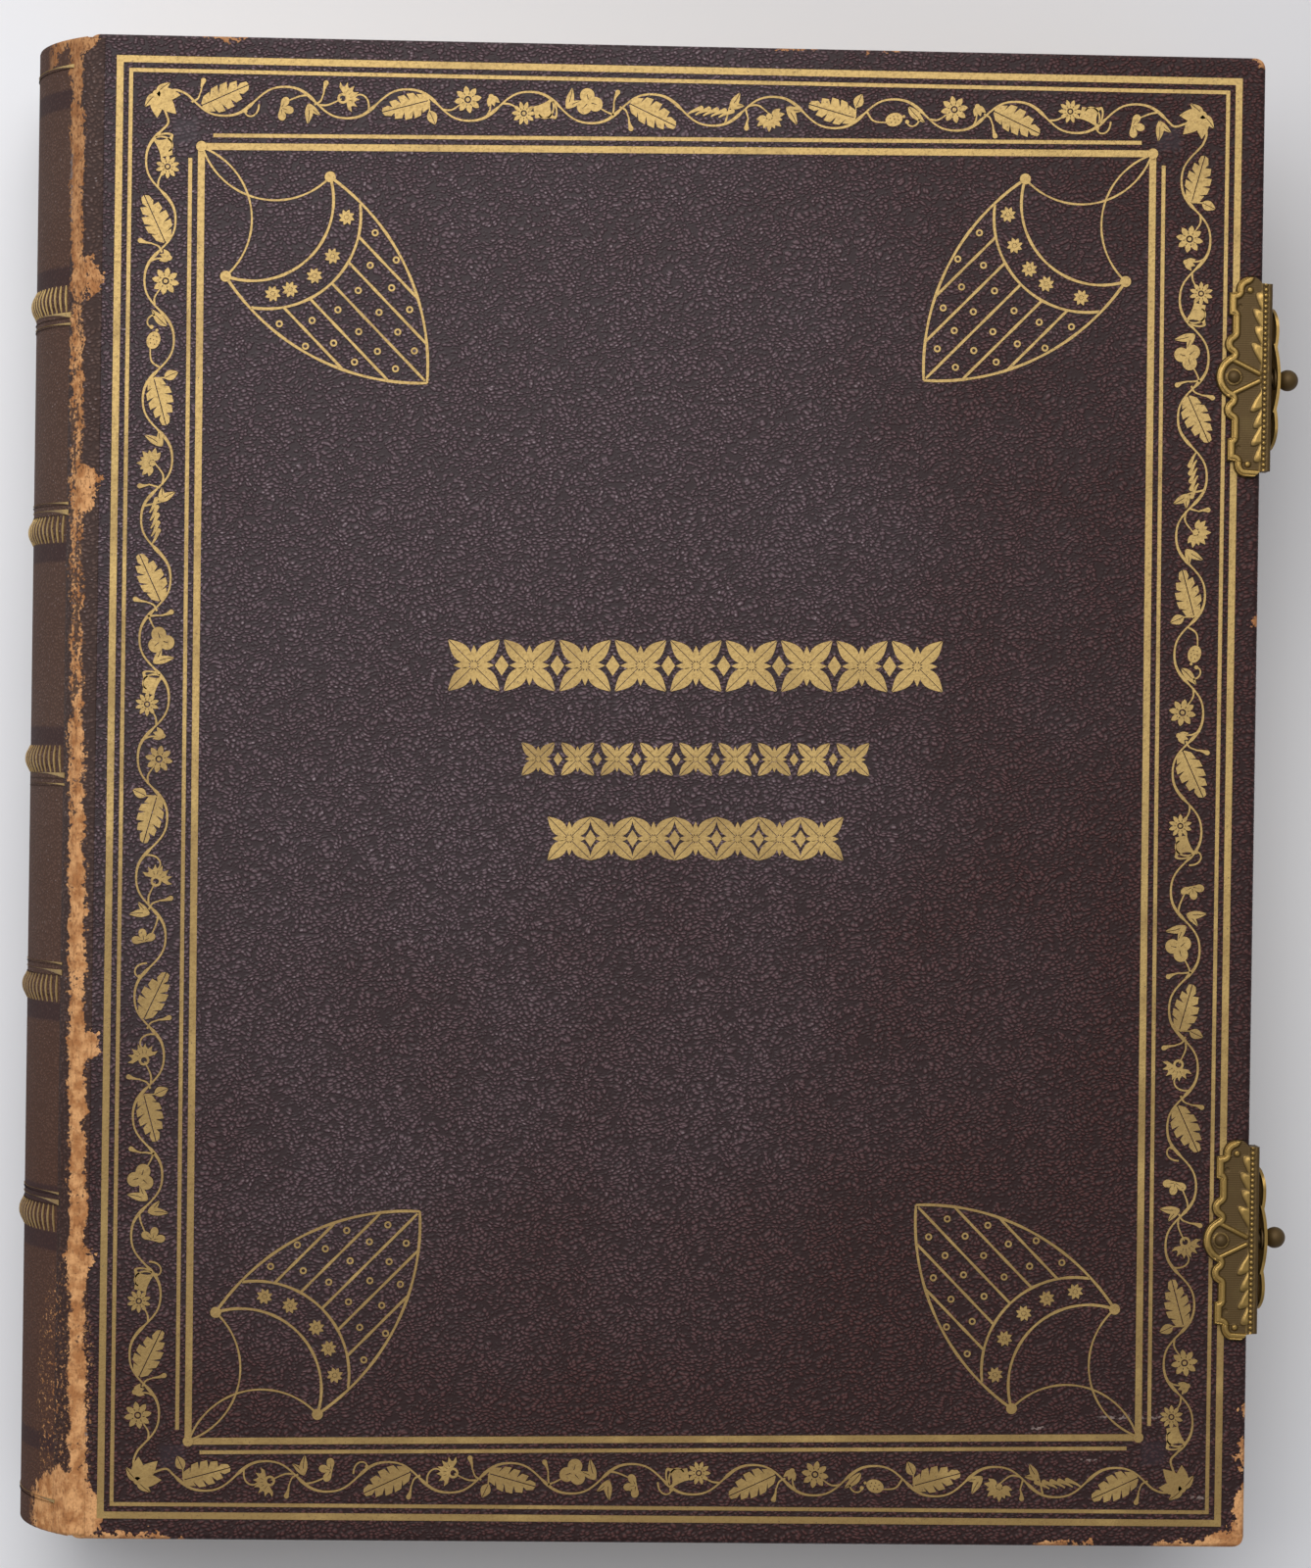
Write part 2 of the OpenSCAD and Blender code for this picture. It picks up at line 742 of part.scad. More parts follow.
// The stars of each shield were pressed one by one.
module front_gilt_shields() {
    corner = (panel_size - [thick_line, thick_line]) / 2;
    shields = [[-1, -1, [-11.3, -6.6, -1.9, 4.9, 9.8]], [1, -1, [-12.1, -5.7, 0.6, 6, 11.1]],
               [1, 1, [-11.8, -6.4, -1, 3.5, 10.4]], [-1, 1, [-11.2, -3.8, 1.5, 6.6, 10.4]]];
    color("gold") placed() on_front() translate(frame_mid)
        for (s = shields) translate(on_panel([s[0] * corner[0], s[1] * corner[1]]))
            mirror([s[0] < 0 ? 0 : 1, 0]) mirror([0, s[1] < 0 ? 0 : 1]) rotate(shield_turn)
                shield(s[2]);
}

// A flower of four leaves round an eye.
module fleuron(h) {
    for (a = [45:90:315]) rotate(a) leaf(0.66 * h, 0.28 * h);
    circle(0.1 * h);
}

// Three rows of flowers and lozenges in the middle of the panel: how far up each one is and
// its height and its length, beside the top row's, and its number of flowers.
module front_gilt_rows() {
    rows = [[2.44, 1, 1, 9], [0.68, 0.64, 0.71, 9], [-0.82, 0.85, 0.59, 7]];
    color("gold") placed() on_front() translate(frame_mid) rotate(panel_end_tilt)
        for (row = rows) translate([row_shift - row_l * row[2] / 2, row_h * row[0]]) {
            pitch = row_l * row[2] / row[3];
            for (i = [0:row[3] - 1]) translate([(i + 0.5) * pitch, 0]) fleuron(row_h * row[1]);
            for (i = [1:row[3] - 1]) translate([i * pitch, 0]) rotate(45)
                square(0.2 * row_h * row[1], center = true);
        }
}

// ---- clasps, drawn at the middle of the fore-edge ----

// A plate's outline over the cover, with every edge moved in by inset.
module plate_outline(inset) {
    half = plate_l / 2;
    end_r = 2.8;
    shoulder_r = 2.3;
    step_x = cover_w - plate_reach + 0.7;
    body_y = half - 3.3;
    tab_h = 4.7;
    for (s = [-1, 1]) {
        translate([cover_w + plate_lap / 2 - end_r, s * (half - end_r)]) circle(end_r - inset);
        translate([cover_w - plate_reach / 2, s * (body_y - tab_h / 2)])
            square([plate_reach - 2 * inset, tab_h - 2 * inset], center = true);
        translate([step_x + 0.9, s * 6.6]) circle(shoulder_r - inset);
    }
    translate([step_x + inset, inset - body_y])
        square([flange_x - step_x - inset, 2 * (body_y - inset)]);
    translate([cover_w - lobe_reach + lobe_r, 0]) circle(lobe_r - inset);
}

// The part of a plate's outline that lies over the cover. It laps into the flange.
module plate_on_cover(inset) {
    intersection() {
        plate_outline(inset);
        translate([cover_w + plate_lap - 2 * lobe_reach, -plate_l])
            square([2 * lobe_reach, 2 * plate_l]);
    }
}

// The flange down the fore-edge, rounded where it folds over, seen along the edge.
module flange_section(height) {
    fold = flange_t * 0.45;
    top = height + plate_t;
    translate([cover_w, 0]) square([flange_t, top - fold]);
    translate([cover_w, 0]) square([flange_t - fold, top]);
    translate([flange_x - fold, top - fold]) intersection() {
        circle(fold);
        square(fold);
    }
}

// The stamped relief: a raised rim, a fan of two ribs and leaves that lean out of the fold.
module plate_relief() {
    rib_foot = [cover_w - lobe_reach + lobe_r, 0] + (lobe_r - rim_w / 2) * polar(120);
    difference() {
        plate_on_cover(0);
        plate_outline(rim_w);
    }
    for (s = [-1, 1]) {
        straight_line([rib_foot[0], s * rib_foot[1]], [cover_w - 0.4, s * rim_w / 2],
                      rim_w * 0.7);
        for (k = [0:3]) translate([cover_w - 0.3, s * (2.6 + 3.4 * k)]) rotate(s * 113)
            leaf(3.7, 1.7);
    }
}

// The front cover's plate, folded down the fore-edge, with a row of beads along the fold.
module catch_plate(y) {
    rim_z = album_t + plate_t;
    bead_count = floor(flange_l / 2 / bead_pitch) - 1;
    color("goldenrod") placed() translate([0, y, 0]) union() {
        on_front(plate_t) plate_on_cover(0);
        translate([0, 0, catch_z0]) rotate([90, 0, 0]) linear_extrude(flange_l, center = true)
            flange_section(cover_t);
        translate([0, 0, rim_z]) linear_extrude(rim_rise) plate_relief();
        for (i = [-bead_count:bead_count])
            translate([cover_w + 0.27 * flange_t, i * bead_pitch, rim_z]) sphere(d = bead_d);
    }
}

// A domed rivet head on the catch plate.
module catch_rivet(y) {
    head_r = rivet_d / 2;
    color("darkgoldenrod") placed() translate([rivet_x, y, album_t + plate_t])
        intersection() {
            translate([0, 0, -head_r * 0.45]) sphere(head_r * 1.1);
            cylinder(h = rivet_d, r = head_r);
        }
}

module catch_stud(y) {
    color("darkgoldenrod") placed() translate([flange_x, y, stud_z]) rotate([0, 90, 0])
        cylinder(h = stud_reach, d = stud_d);
}

// The hasp from above: a broad middle lobe and a smaller one each side.
module hasp_section() {
    valley = [hasp_valley_x, hasp_valley_y];
    edge = [hasp_edge_x, hasp_w / 2];
    curved_strip([valley[0], valley[1]], [valley[0], -valley[1]], hasp_x - valley[0], hasp_t,
                 hasp_t);
    for (m = [0, 1]) mirror([0, m]) curved_strip(edge, valley, 0.5, hasp_t);
}

// The hasp from the front: lobed top, drawn in to a strap above the hinge.
module hasp_front() {
    top_r = 4;
    shoulder = hasp_top - 20;
    neck = shoulder - 10;
    low = hinge_z + knuckle_d / 2 + running_gap;
    for (s = [-1, 1]) translate([s * (hasp_w / 2 - top_r), hasp_top - top_r]) circle(top_r);
    translate([top_r - hasp_w / 2, shoulder]) square([hasp_w - 2 * top_r, hasp_top - shoulder]);
    translate([-hasp_w / 2, shoulder]) square([hasp_w, hasp_top - top_r - shoulder]);
    polygon([[-hasp_w / 2, shoulder], [hasp_w / 2, shoulder], [strap_w / 2, neck],
             [strap_w / 2, low], [-strap_w / 2, low], [-strap_w / 2, neck]]);
}

module hasp(y) {
    tongue_h = knuckle_d / 2 + running_gap + 1;
    color("goldenrod") placed() translate([0, y, 0]) difference() {
        union() {
            intersection() {
                linear_extrude(album_t) hasp_section();
                rotate([90, 0, 90]) linear_extrude(2 * cover_w) hasp_front();
            }
            translate([hasp_x - 1.8 * hasp_t, -knuckle_l / 2, hinge_z])
                cube([hasp_t, knuckle_l, tongue_h]);
            translate([hinge_x, 0, hinge_z]) rotate([90, 0, 0])
                cylinder(h = knuckle_l, d = knuckle_d, center = true);
        }
        translate([hinge_x, 0, hinge_z]) rotate([90, 0, 0])
            cylinder(h = 2 * knuckle_l, r = pin_d / 2 + pin_clearance, center = true);
    }
}

// The bored plate inside the hasp that the catch stud stands against.
module hasp_keeper(y) {
    keeper_t = keeper_seat_x - keeper_x;
    color("darkgoldenrod") placed() translate([keeper_x, y, stud_z]) rotate([0, 90, 0])
        difference() {
            cylinder(h = keeper_t, d = keeper_d);
            translate([0, 0, -1]) cylinder(h = keeper_t + 2, d = stud_d);
        }
}

// A ball for the thumb, on a short neck soldered to the middle of the hasp.
module hasp_knob(y) {
    color("dimgray") placed() translate([hasp_x, y, knob_z]) rotate([0, 90, 0]) {
        cylinder(h = knob_x - hasp_x, d = knob_neck_d);
        translate([0, 0, knob_x - hasp_x]) sphere(d = knob_d);
    }
}

module hinge_plate(y) {
    color("goldenrod") placed() translate([0, y, 0]) difference() {
        union() {
            linear_extrude(plate_t) plate_on_cover(0);
            translate([cover_w, -flange_l / 2, 0]) cube([flange_t, flange_l, cover_t]);
            for (s = [-1, 1])
                translate([hinge_x, s * (hinge_reach + outer_knuckle_l / 2), hinge_z]) {
                    rotate([90, 0, 0]) cylinder(h = outer_knuckle_l, d = knuckle_d, center = true);
                    translate([flange_x - hinge_x, -outer_knuckle_l / 2, -knuckle_d / 4])
                        cube([hinge_x - flange_x, outer_knuckle_l, knuckle_d / 2]);
                }
        }
        translate([hinge_x, 0, hinge_z]) rotate([90, 0, 0])
            cylinder(h = 2 * plate_l, d = pin_d, center = true);
    }
}

module hinge_pin(y) {
    pin_l = 2 * (hinge_reach + outer_knuckle_l);
    color("darkgoldenrod") placed() translate([hinge_x, y, hinge_z]) rotate([90, 0, 0])
        cylinder(h = pin_l, d = pin_d, center = true);
}

// A rivet from the let-in hinge plate up into the board.
module hinge_rivet(y) {
    color("darkgoldenrod") placed() translate([rivet_x, y, plate_t])
        cylinder(h = cover_t - lining_t - plate_t, d = rivet_d / 2);
}

page_block();
head_band();
tail_band();
spine_tube();
spine_leather();
spine_gilding();
front_board();
front_leather();
front_pastedown();
front_gilt_fillets();
front_gilt_vine();
front_gilt_shields();
front_gilt_rows();
back_board();
back_leather();
back_pastedown();
catch_plate(upper_y);  // upper_catch_plate
catch_rivet(upper_y);  // upper_catch_rivet
catch_stud(upper_y);  // upper_catch_stud
hasp(upper_y);  // upper_hasp
hasp_keeper(upper_y);  // upper_hasp_keeper
hasp_knob(upper_y);  // upper_hasp_knob
hinge_plate(upper_y);  // upper_hinge_plate
hinge_pin(upper_y);  // upper_hinge_pin
hinge_rivet(upper_y);  // upper_hinge_rivet
catch_plate(lower_y);  // lower_catch_plate
catch_rivet(lower_y);  // lower_catch_rivet
catch_stud(lower_y);  // lower_catch_stud
hasp(lower_y);  // lower_hasp
hasp_keeper(lower_y);  // lower_hasp_keeper
hasp_knob(lower_y);  // lower_hasp_knob
hinge_plate(lower_y);  // lower_hinge_plate
hinge_pin(lower_y);  // lower_hinge_pin
hinge_rivet(lower_y);  // lower_hinge_rivet
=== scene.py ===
"""The photo album's looks: grained and worn morocco, gilt tooling and aged brass clasps."""

import cmath
import json
import math
import random

import bpy
import numpy as np
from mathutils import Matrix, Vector
from mathutils.geometry import tessellate_polygon


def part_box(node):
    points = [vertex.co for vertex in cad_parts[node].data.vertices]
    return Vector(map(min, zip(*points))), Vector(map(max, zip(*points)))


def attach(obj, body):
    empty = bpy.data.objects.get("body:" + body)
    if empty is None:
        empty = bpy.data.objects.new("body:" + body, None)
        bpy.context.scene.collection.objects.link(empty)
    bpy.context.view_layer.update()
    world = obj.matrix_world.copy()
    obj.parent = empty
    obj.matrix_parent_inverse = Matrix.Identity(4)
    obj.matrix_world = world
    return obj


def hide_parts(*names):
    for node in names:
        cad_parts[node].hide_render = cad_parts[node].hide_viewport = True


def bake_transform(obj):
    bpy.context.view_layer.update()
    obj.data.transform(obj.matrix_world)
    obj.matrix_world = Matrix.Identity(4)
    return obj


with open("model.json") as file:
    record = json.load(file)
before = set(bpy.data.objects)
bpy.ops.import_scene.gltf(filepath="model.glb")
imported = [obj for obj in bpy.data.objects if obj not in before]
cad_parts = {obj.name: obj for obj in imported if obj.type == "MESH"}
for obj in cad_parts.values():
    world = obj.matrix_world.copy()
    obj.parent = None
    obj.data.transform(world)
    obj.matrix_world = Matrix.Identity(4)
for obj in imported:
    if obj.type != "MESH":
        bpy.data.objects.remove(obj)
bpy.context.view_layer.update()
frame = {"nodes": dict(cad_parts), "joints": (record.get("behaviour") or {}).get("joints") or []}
joints = {joint["name"]: joint for joint in frame["joints"]}
random.seed(7)

# ---- places, in millimetres, all taken from the frame ----

MM = 0.001


def box_mm(node):
    """The lowest and highest corners of a CAD node, in millimetres."""
    low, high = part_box(node)
    return low / MM, high / MM


cover_low, cover_high = box_mm("front_leather")
fillet_low, fillet_high = box_mm("front_gilt_fillets")
spine_low, spine_high = box_mm("spine_leather")
JOINT_X = joints["front_cover_joint"]["pos_m"][0] / MM
COVER_W = cover_high.x - JOINT_X
TOP_Z = cover_high.z
MID = complex((fillet_low.x + fillet_high.x) / 2, (fillet_low.y + fillet_high.y) / 2)
FRAME_W = fillet_high.x - fillet_low.x
FRAME_H = fillet_high.y - fillet_low.y
CLASP_Y = {name: joints[name + "_hasp_hinge"]["pos_m"][1] / MM for name in ("upper", "lower")}

# The spine is an arc through both joints, and its raised bands stand this far out.
BAND_RISE = 1.0
SPINE_BULGE = JOINT_X - spine_low.x - BAND_RISE
SPINE_R = ((TOP_Z / 2) ** 2 + SPINE_BULGE ** 2) / (2 * SPINE_BULGE)
SPINE_AXIS_X = JOINT_X - SPINE_BULGE + SPINE_R
# How far round the arc each joint lies from its middle.
SPINE_HALF = SPINE_R * math.asin(TOP_Z / 2 / SPINE_R)

# The inner panel, pressed a little out of square.
PANEL_END_GAP = 16.0
PANEL_SIDE_GAP = 16.8
PANEL_W = FRAME_W - 2 * PANEL_SIDE_GAP
PANEL_H = FRAME_H - 2 * PANEL_END_GAP
END_TILT = math.tan(math.radians(0.7))
SIDE_TILT = math.tan(math.radians(0.2))
# The thick gilt line round it.
THICK_LINE = 1.4


def on_panel(point):
    """Where a point of a square panel comes to lie, both from the panel's middle."""
    return complex(point.real - SIDE_TILT * point.imag, point.imag + END_TILT * point.real)


def srgb(red, green, blue):
    """A colour given as it looks on a screen, 0 to 255, as Blender's linear RGBA."""
    parts = [c / 255 for c in (red, green, blue)]
    linear = [c / 12.92 if c < 0.04045 else ((c + 0.055) / 1.055) ** 2.4 for c in parts]
    return (*linear, 1.0)


# ---- materials: what is worked out at every point, by Blender's nodes ----

class Value:
    """What a node gives. Sums, differences and products of numbers are new nodes."""

    def __init__(self, paint, socket):
        self.paint = paint
        self.socket = socket

    def __add__(self, other):
        return self.paint.math("ADD", self, other)

    def __sub__(self, other):
        return self.paint.math("SUBTRACT", self, other)

    def __rsub__(self, other):
        return self.paint.math("SUBTRACT", other, self)

    def __mul__(self, other):
        return self.paint.math("MULTIPLY", self, other)

    def __abs__(self):
        return self.paint.math("ABSOLUTE", self)


class Paint:
    """One procedural material. Its sizes are millimetres in the object's own frame."""

    def __init__(self, name):
        self.material = bpy.data.materials.new(name)
        self.material.use_nodes = True
        self.tree = self.material.node_tree
        self.shader = self.tree.nodes["Principled BSDF"]
        self.place = self.node("VectorMath", 0, self.node("TexCoord", "Object"),
                               operation="SCALE", Scale=1 / MM)
        self.x, self.y, self.z = (self.node("SeparateXYZ", axis, self.place)
                                  for axis in range(3))

    def node(self, kind, output, *values, **given):
        """Adds a node and gives one of its outputs. Its inputs are given in order or by a
        name with a capital, and its settings by a name without one."""
        node = self.tree.nodes.new("ShaderNode" + kind)
        for value, socket in zip(values, node.inputs):
            self.join(value, socket)
        for name, value in given.items():
            if name[0].isupper():
                self.join(value, node.inputs[name.replace("_", " ")])
            else:
                setattr(node, name, value)
        return Value(self, node.outputs[output])

    def join(self, value, socket):
        if isinstance(value, Value):
            self.tree.links.new(value.socket, socket)
        else:
            socket.default_value = value

    def math(self, operation, *values):
        return self.node("Math", 0, *values, operation=operation)

    def mapped(self, turn, stretch, vector=None):
        """The place turned about Z by degrees, then stretched."""
        return self.node("Mapping", 0, Vector=vector or self.place,
                         Rotation=(0, 0, math.radians(turn)), Scale=stretch)

    def noise(self, size, detail, roughness=0.5, vector=None):
        """Soft noise about 0.5, with features of about that many millimetres."""
        return self.node("TexNoise", "Fac", Vector=vector or self.place, Scale=1 / size,
                         Detail=detail, Roughness=roughness)

    def ramp(self, value, low, high, start=0.0, end=1.0):
        """Goes smoothly from start to end as value goes from low to high."""
        return self.node("MapRange", "Result", interpolation_type="SMOOTHSTEP", Value=value,
                         From_Min=low, From_Max=high, To_Min=start, To_Max=end)

    def mix(self, share, *colors):
        """Mixes two colours, each a value or as it looks on a screen, 0 to 255."""
        first, second = (srgb(*c) if isinstance(c, tuple) else c for c in colors)
        return self.node("Mix", "Result", data_type="RGBA", Factor=share, A=first, B=second)

    def blend(self, share, first, second):
        """Mixes two numbers."""
        return self.node("Mix", "Result", data_type="FLOAT", Factor=share, A=first, B=second)

    def most(self, *values):
        """The largest of several numbers."""
        result = values[0]
        for value in values[1:]:
            result = self.math("MAXIMUM", result, value)
        return result

    def zone(self, x, y, middle_x, middle_y, reach_x, reach_y):
        """1 in the middle of an ellipse, 0 at its edge and negative outside."""
        across = self.math("MULTIPLY_ADD", x, 1 / reach_x, -middle_x / reach_x)
        up = self.math("MULTIPLY_ADD", y, 1 / reach_y, -middle_y / reach_y)
        return 1.0 - self.math("MULTIPLY_ADD", up, up, across * across)

    def zones(self, x, y, places):
        return self.most(*[self.zone(x, y, *place) for place in places])

    def bump(self, height, distance, strength):
        """Bends the normal by a height from 0 to 1 that is distance millimetres tall."""
        return self.node("Bump", 0, Height=height, Strength=strength, Distance=distance * MM)

    def finish(self, color, roughness, normal, metallic=0.0, **others):
        inputs = {"Base_Color": color, "Roughness": roughness, "Normal": normal,
                  "Metallic": metallic, **others}
        for name, value in inputs.items():
            self.join(value, self.shader.inputs[name.replace("_", " ")])
        return self.material


# ---- materials: leather ----

# Rubbed places: the middle, from the joint and the album's mid height, and the reach each way.
RUBBED = [
    (0.8, 101.5, 1.9, 4.4), (0.5, 59.2, 2.5, 4.8), (2.0, -51.7, 3.1, 3.0), (1.6, -94.2, 2.8, 3.2),
    (-0.4, 148.8, 2.6, 2.0), (-4.4, 148.9, 4.2, 1.0), (-7.6, 146.9, 1.2, 2.2),
    (-1.0, -145.5, 7.2, 9.4), (13.2, -150.2, 10.4, 1.6), (198.8, -150.3, 6.6, 1.2),
    (225.5, -150.2, 9.0, 1.5), (235.2, -149.4, 8.2, 2.9), (236.4, -143.5, 2.5, 6.6),
    (235.6, -131.0, 1.4, 3.4), (236.0, -122.0, 0.6, 1.6), (235.2, 149.4, 2.0, 1.4),
    (236.0, 36.5, 0.7, 1.7), (27.6, 150.2, 4.6, 0.7), (142.0, 150.3, 4.2, 0.7),
    (160.0, 150.4, 4.6, 0.6),
]
# Pale scratches, as middle and reach.
SCRATCHES = [
    (212.6, -123.9, 7.3, 0.35), (194.1, -126.2, 1.6, 0.4), (204.1, -132.6, 1.8, 0.4),
    (226.4, -140.0, 1.7, 0.45), (2.9, -128.0, 0.7, 5.4), (-3.0, 120.0, 0.5, 9.0),
]
# How far the rubbed strip along a joint reaches to each side of it.
STRIP_HALF = 1.2


def grain(paint, size):
    """Goatskin's pebbles, in rows along one diagonal. Gives a height from 0 to 1."""
    wobble = paint.node("TexNoise", "Color", Vector=paint.place, Scale=0.22, Detail=1.0)
    shift = paint.node("VectorMath", 0, wobble, operation="SCALE", Scale=2.2)
    skewed = paint.node("VectorMath", 0, paint.place, shift, operation="ADD")
    distance = paint.node("TexVoronoi", "Distance", Scale=1 / size, Randomness=0.75,
                          Vector=paint.mapped(-27, (0.8, 1.15, 0.9), skewed))
    return paint.ramp(distance, 0.68, 0.12)


def raw_leather(paint):
    """The colour under the rubbed-off surface: tan, darker in the cracks."""
    broad = paint.ramp(paint.noise(2.6, 3.0), 0.35, 0.65)
    color = paint.mix(broad, (160, 108, 66), (204, 152, 102))
    color = paint.mix(paint.ramp(paint.y, 85, 130, 0.0, 0.45), color, (130, 88, 58))
    crumbs = paint.ramp(paint.noise(0.5, 2.0, 0.7, paint.mapped(0, (1, 0.45, 1))), 0.48, 0.68)
    share = paint.ramp(paint.y, -60, 120, 0.45, 0.85)
    return paint.mix(crumbs * share, color, (98, 62, 40))


def rubbed(paint):
    """How far a place near the front is rubbed to the raw, from 0 to 1."""
    coarse = paint.noise(4.5, 3.0, 0.65) - 0.5
    fine = paint.noise(0.9, 2.0, 0.6) - 0.5
    shift = (fine * 0.8 + coarse) * 6.6
    away = paint.x - JOINT_X
    ragged = paint.noise(1.7, 4.0, 0.7) * 1.1 - 0.55
    spots = paint.zones(away + shift, shift * 0.8 + paint.y, RUBBED)
    spots = paint.ramp(spots + ragged, -0.05, 0.08)

    # The strip along the joint leans a little, and leather is kept on it in streaks.
    lower = paint.ramp(paint.y, 45, -35)
    whole = paint.most(lower, paint.ramp(paint.y, 92, 108))
    streaks = paint.noise(1.4, 3.0, 0.65, paint.mapped(0, (1, 0.13, 0.6)))
    patchy = paint.noise(11, 2.0, 0.6)
    specks = paint.noise(0.7, 2.0, 0.6)
    cover = patchy * 0.7 + streaks * 0.55 + specks * 0.75 - whole * 0.2
    kept = paint.ramp(cover, 0.98, 1.06, 0.0, 0.9)
    aside = abs(away - (paint.y * -0.0145 - 0.3))
    edge = aside + shift * 0.55 - lower * 0.45
    strip = paint.ramp(edge, STRIP_HALF - 0.25, STRIP_HALF + 0.2, 1.0, 0.0) * (1.0 - kept)

    flecks = paint.ramp(paint.noise(0.9, 3.0, 0.7), 0.57, 0.63, 0.0, 0.85)
    low_joint = paint.ramp(paint.zone(away, paint.y, -1.2, -122, 6.8, 32), 0.0, 0.5)
    bare = paint.most(spots, strip, flecks * low_joint)
    return bare * paint.ramp(paint.z, TOP_Z - 14, TOP_Z - 9)


def scratched(paint):
    """How far a place of the front cover is scratched, from 0 to 1."""
    shift = (paint.noise(1.5, 2.0) - 0.5) * 1.6
    broken = paint.ramp(paint.noise(0.9, 1.0), 0.42, 0.52)
    lines = paint.zones(paint.x - JOINT_X + shift, paint.y + shift, SCRATCHES)
    upper = paint.ramp(paint.z, TOP_Z - 6, TOP_Z - 4)
    return paint.ramp(lines, -0.1, 0.5) * broken * upper


def back_rubbed(paint):
    """The back cover is rubbed only at its corners."""
    shift = (paint.noise(4, 3.0, 0.65) - 0.5) * 5.0
    half = cover_high.y
    corners = [(x, y, reach, reach) for x in (0, COVER_W) for y, reach in ((-half, 5), (half, 4))]
    return paint.ramp(paint.zones(paint.x - JOINT_X + shift, paint.y + shift, corners), 0.0, 0.2)


def panel_corner_marks(paint):
    """The smooth blind squares that a tool left at the corners of the inner panel."""
    across = paint.x - MID.real
    x = abs(paint.y * SIDE_TILT + across)
    y = abs(across * -END_TILT + paint.y)
    square = paint.most(abs(x - (PANEL_W / 2 + 2.4)), abs(y - (PANEL_H / 2 + 2.4)))
    upper = paint.ramp(paint.z, TOP_Z - 1, TOP_Z - 0.5)
    return paint.ramp(square, 1.7, 3.1, 0.7, 0.0) * upper


def spine_pressing(paint):
    """Smooth darker stripes where blind lines are pressed beside the bands."""
    return paint.most(*[paint.ramp(abs(paint.y - y), 1.5, 2.3, 0.8, 0.0)
                        for y in blind_line_places()])


def leather(name, dark, light, bare_at, pressed_at=None, grain_size=0.8, relief=0.22,
            valley_shade=0.8, sheen=0.2, least_rough=0.4):
    """Morocco, with a painted sheen, painted glints and painted shade in its grain. bare_at and
    pressed_at give the raw share and the smooth share of a place.
    """
    paint = Paint(name)
    pebbles = grain(paint, grain_size)
    # Painted sheen: over a broad patch of the upper middle the colour goes from dark to light,
    # standing in for the lamp's reflection there. The same share makes the leather there a little
    # less rough.
    cloud = paint.noise(45, 3.0, 0.6) * 1.3 - 0.65
    near = paint.zone(paint.x, paint.y, JOINT_X + 70, 60, 150, 190)
    smooth_and_painted_sheen = paint.ramp(near + cloud, -0.2, 1.1)
    color = paint.mix(smooth_and_painted_sheen, dark, light)
    # Painted glints: pale specks on the pebble tops, mostly within the painted sheen.
    glints = paint.ramp(pebbles * paint.noise(0.6, 1.0), 0.54, 0.68, 0.0, 0.5)
    color = paint.mix(glints * smooth_and_painted_sheen, color, (160, 150, 152))
    # Painted shade: the valleys between the pebbles are darkened towards near-black.
    color = paint.mix(paint.ramp(pebbles, 0.15, 0.95, valley_shade, 0.0), color, (24, 13, 12))
    bare = bare_at(paint)
    strength = 1.0 - bare * 0.6
    if pressed_at:
        pressed = pressed_at(paint)
        strength = strength * (1.0 - pressed)
        color = paint.mix(pressed * 0.7, color, (44, 34, 40))
    if bare_at is rubbed:
        color = paint.mix(scratched(paint), color, (118, 102, 96))
    color = paint.mix(bare, color, raw_leather(paint))
    rough = paint.blend(smooth_and_painted_sheen, least_rough + 0.12, least_rough)
    return paint.finish(color, paint.blend(bare, rough, 0.85),
                        paint.bump(pebbles, relief, strength), Specular_IOR_Level=sheen)


# ---- materials: gold, brass, paper and silk ----

def gold_leaf(name, bright, dim, dull, metal):
    """Gold leaf in leather: uneven and painted brighter towards the top, with the grain in it and
    flecks rubbed away.
    """
    paint = Paint(name)
    broad = paint.noise(14, 3.0, 0.6)
    fine = paint.noise(0.7, 3.0, 0.65)
    # Painted light: the gold is brighter towards the top of the cover, where the lamp's light
    # falls, and duller low down.
    upward = paint.ramp(paint.x * 0.35 + paint.y, -120, 90, 0.0, 0.3)
    color = paint.mix(paint.ramp(broad * 0.9 + upward, 0.4, 0.78), dim, bright)
    color = paint.mix(paint.ramp(fine, 0.45, 0.75, 0.0, 0.55), color, (120, 92, 50))
    flecks = paint.ramp(paint.noise(0.45, 3.0, 0.75), 0.63 - dull, 0.7 - dull)
    color = paint.mix(flecks, color, (58, 42, 34))
    return paint.finish(color, fine * 0.25 + 0.38, paint.bump(fine, 0.08, 0.7),
                        paint.blend(flecks, metal, 0.0))


def aged_brass(name, low, high, dark_share=0.0):
    """Brass, bright on what stands proud and dark in what lies deep, between two heights."""
    paint = Paint(name)
    mottle = paint.noise(1.6, 4.0, 0.65)
    polish = mottle * 0.9 + paint.ramp(paint.z, low, high) * 0.75
    bright = paint.ramp(polish, 0.55 + dark_share, 1.15 + dark_share)
    color = paint.mix(bright, (84, 65, 34), (158, 129, 73))
    tarnish = paint.ramp(paint.noise(5, 3.0), 0.5, 0.75, 0.0, 0.5)
    color = paint.mix(tarnish, color, (98, 80, 44))
    scratches = paint.noise(0.35, 2.0, 0.6, paint.mapped(15, (1, 0.15, 1)))
    return paint.finish(color, paint.blend(bright, 0.6, 0.4),
                        paint.bump(scratches + mottle, 0.05, 0.5),
                        paint.blend(bright, 0.6, 0.9))


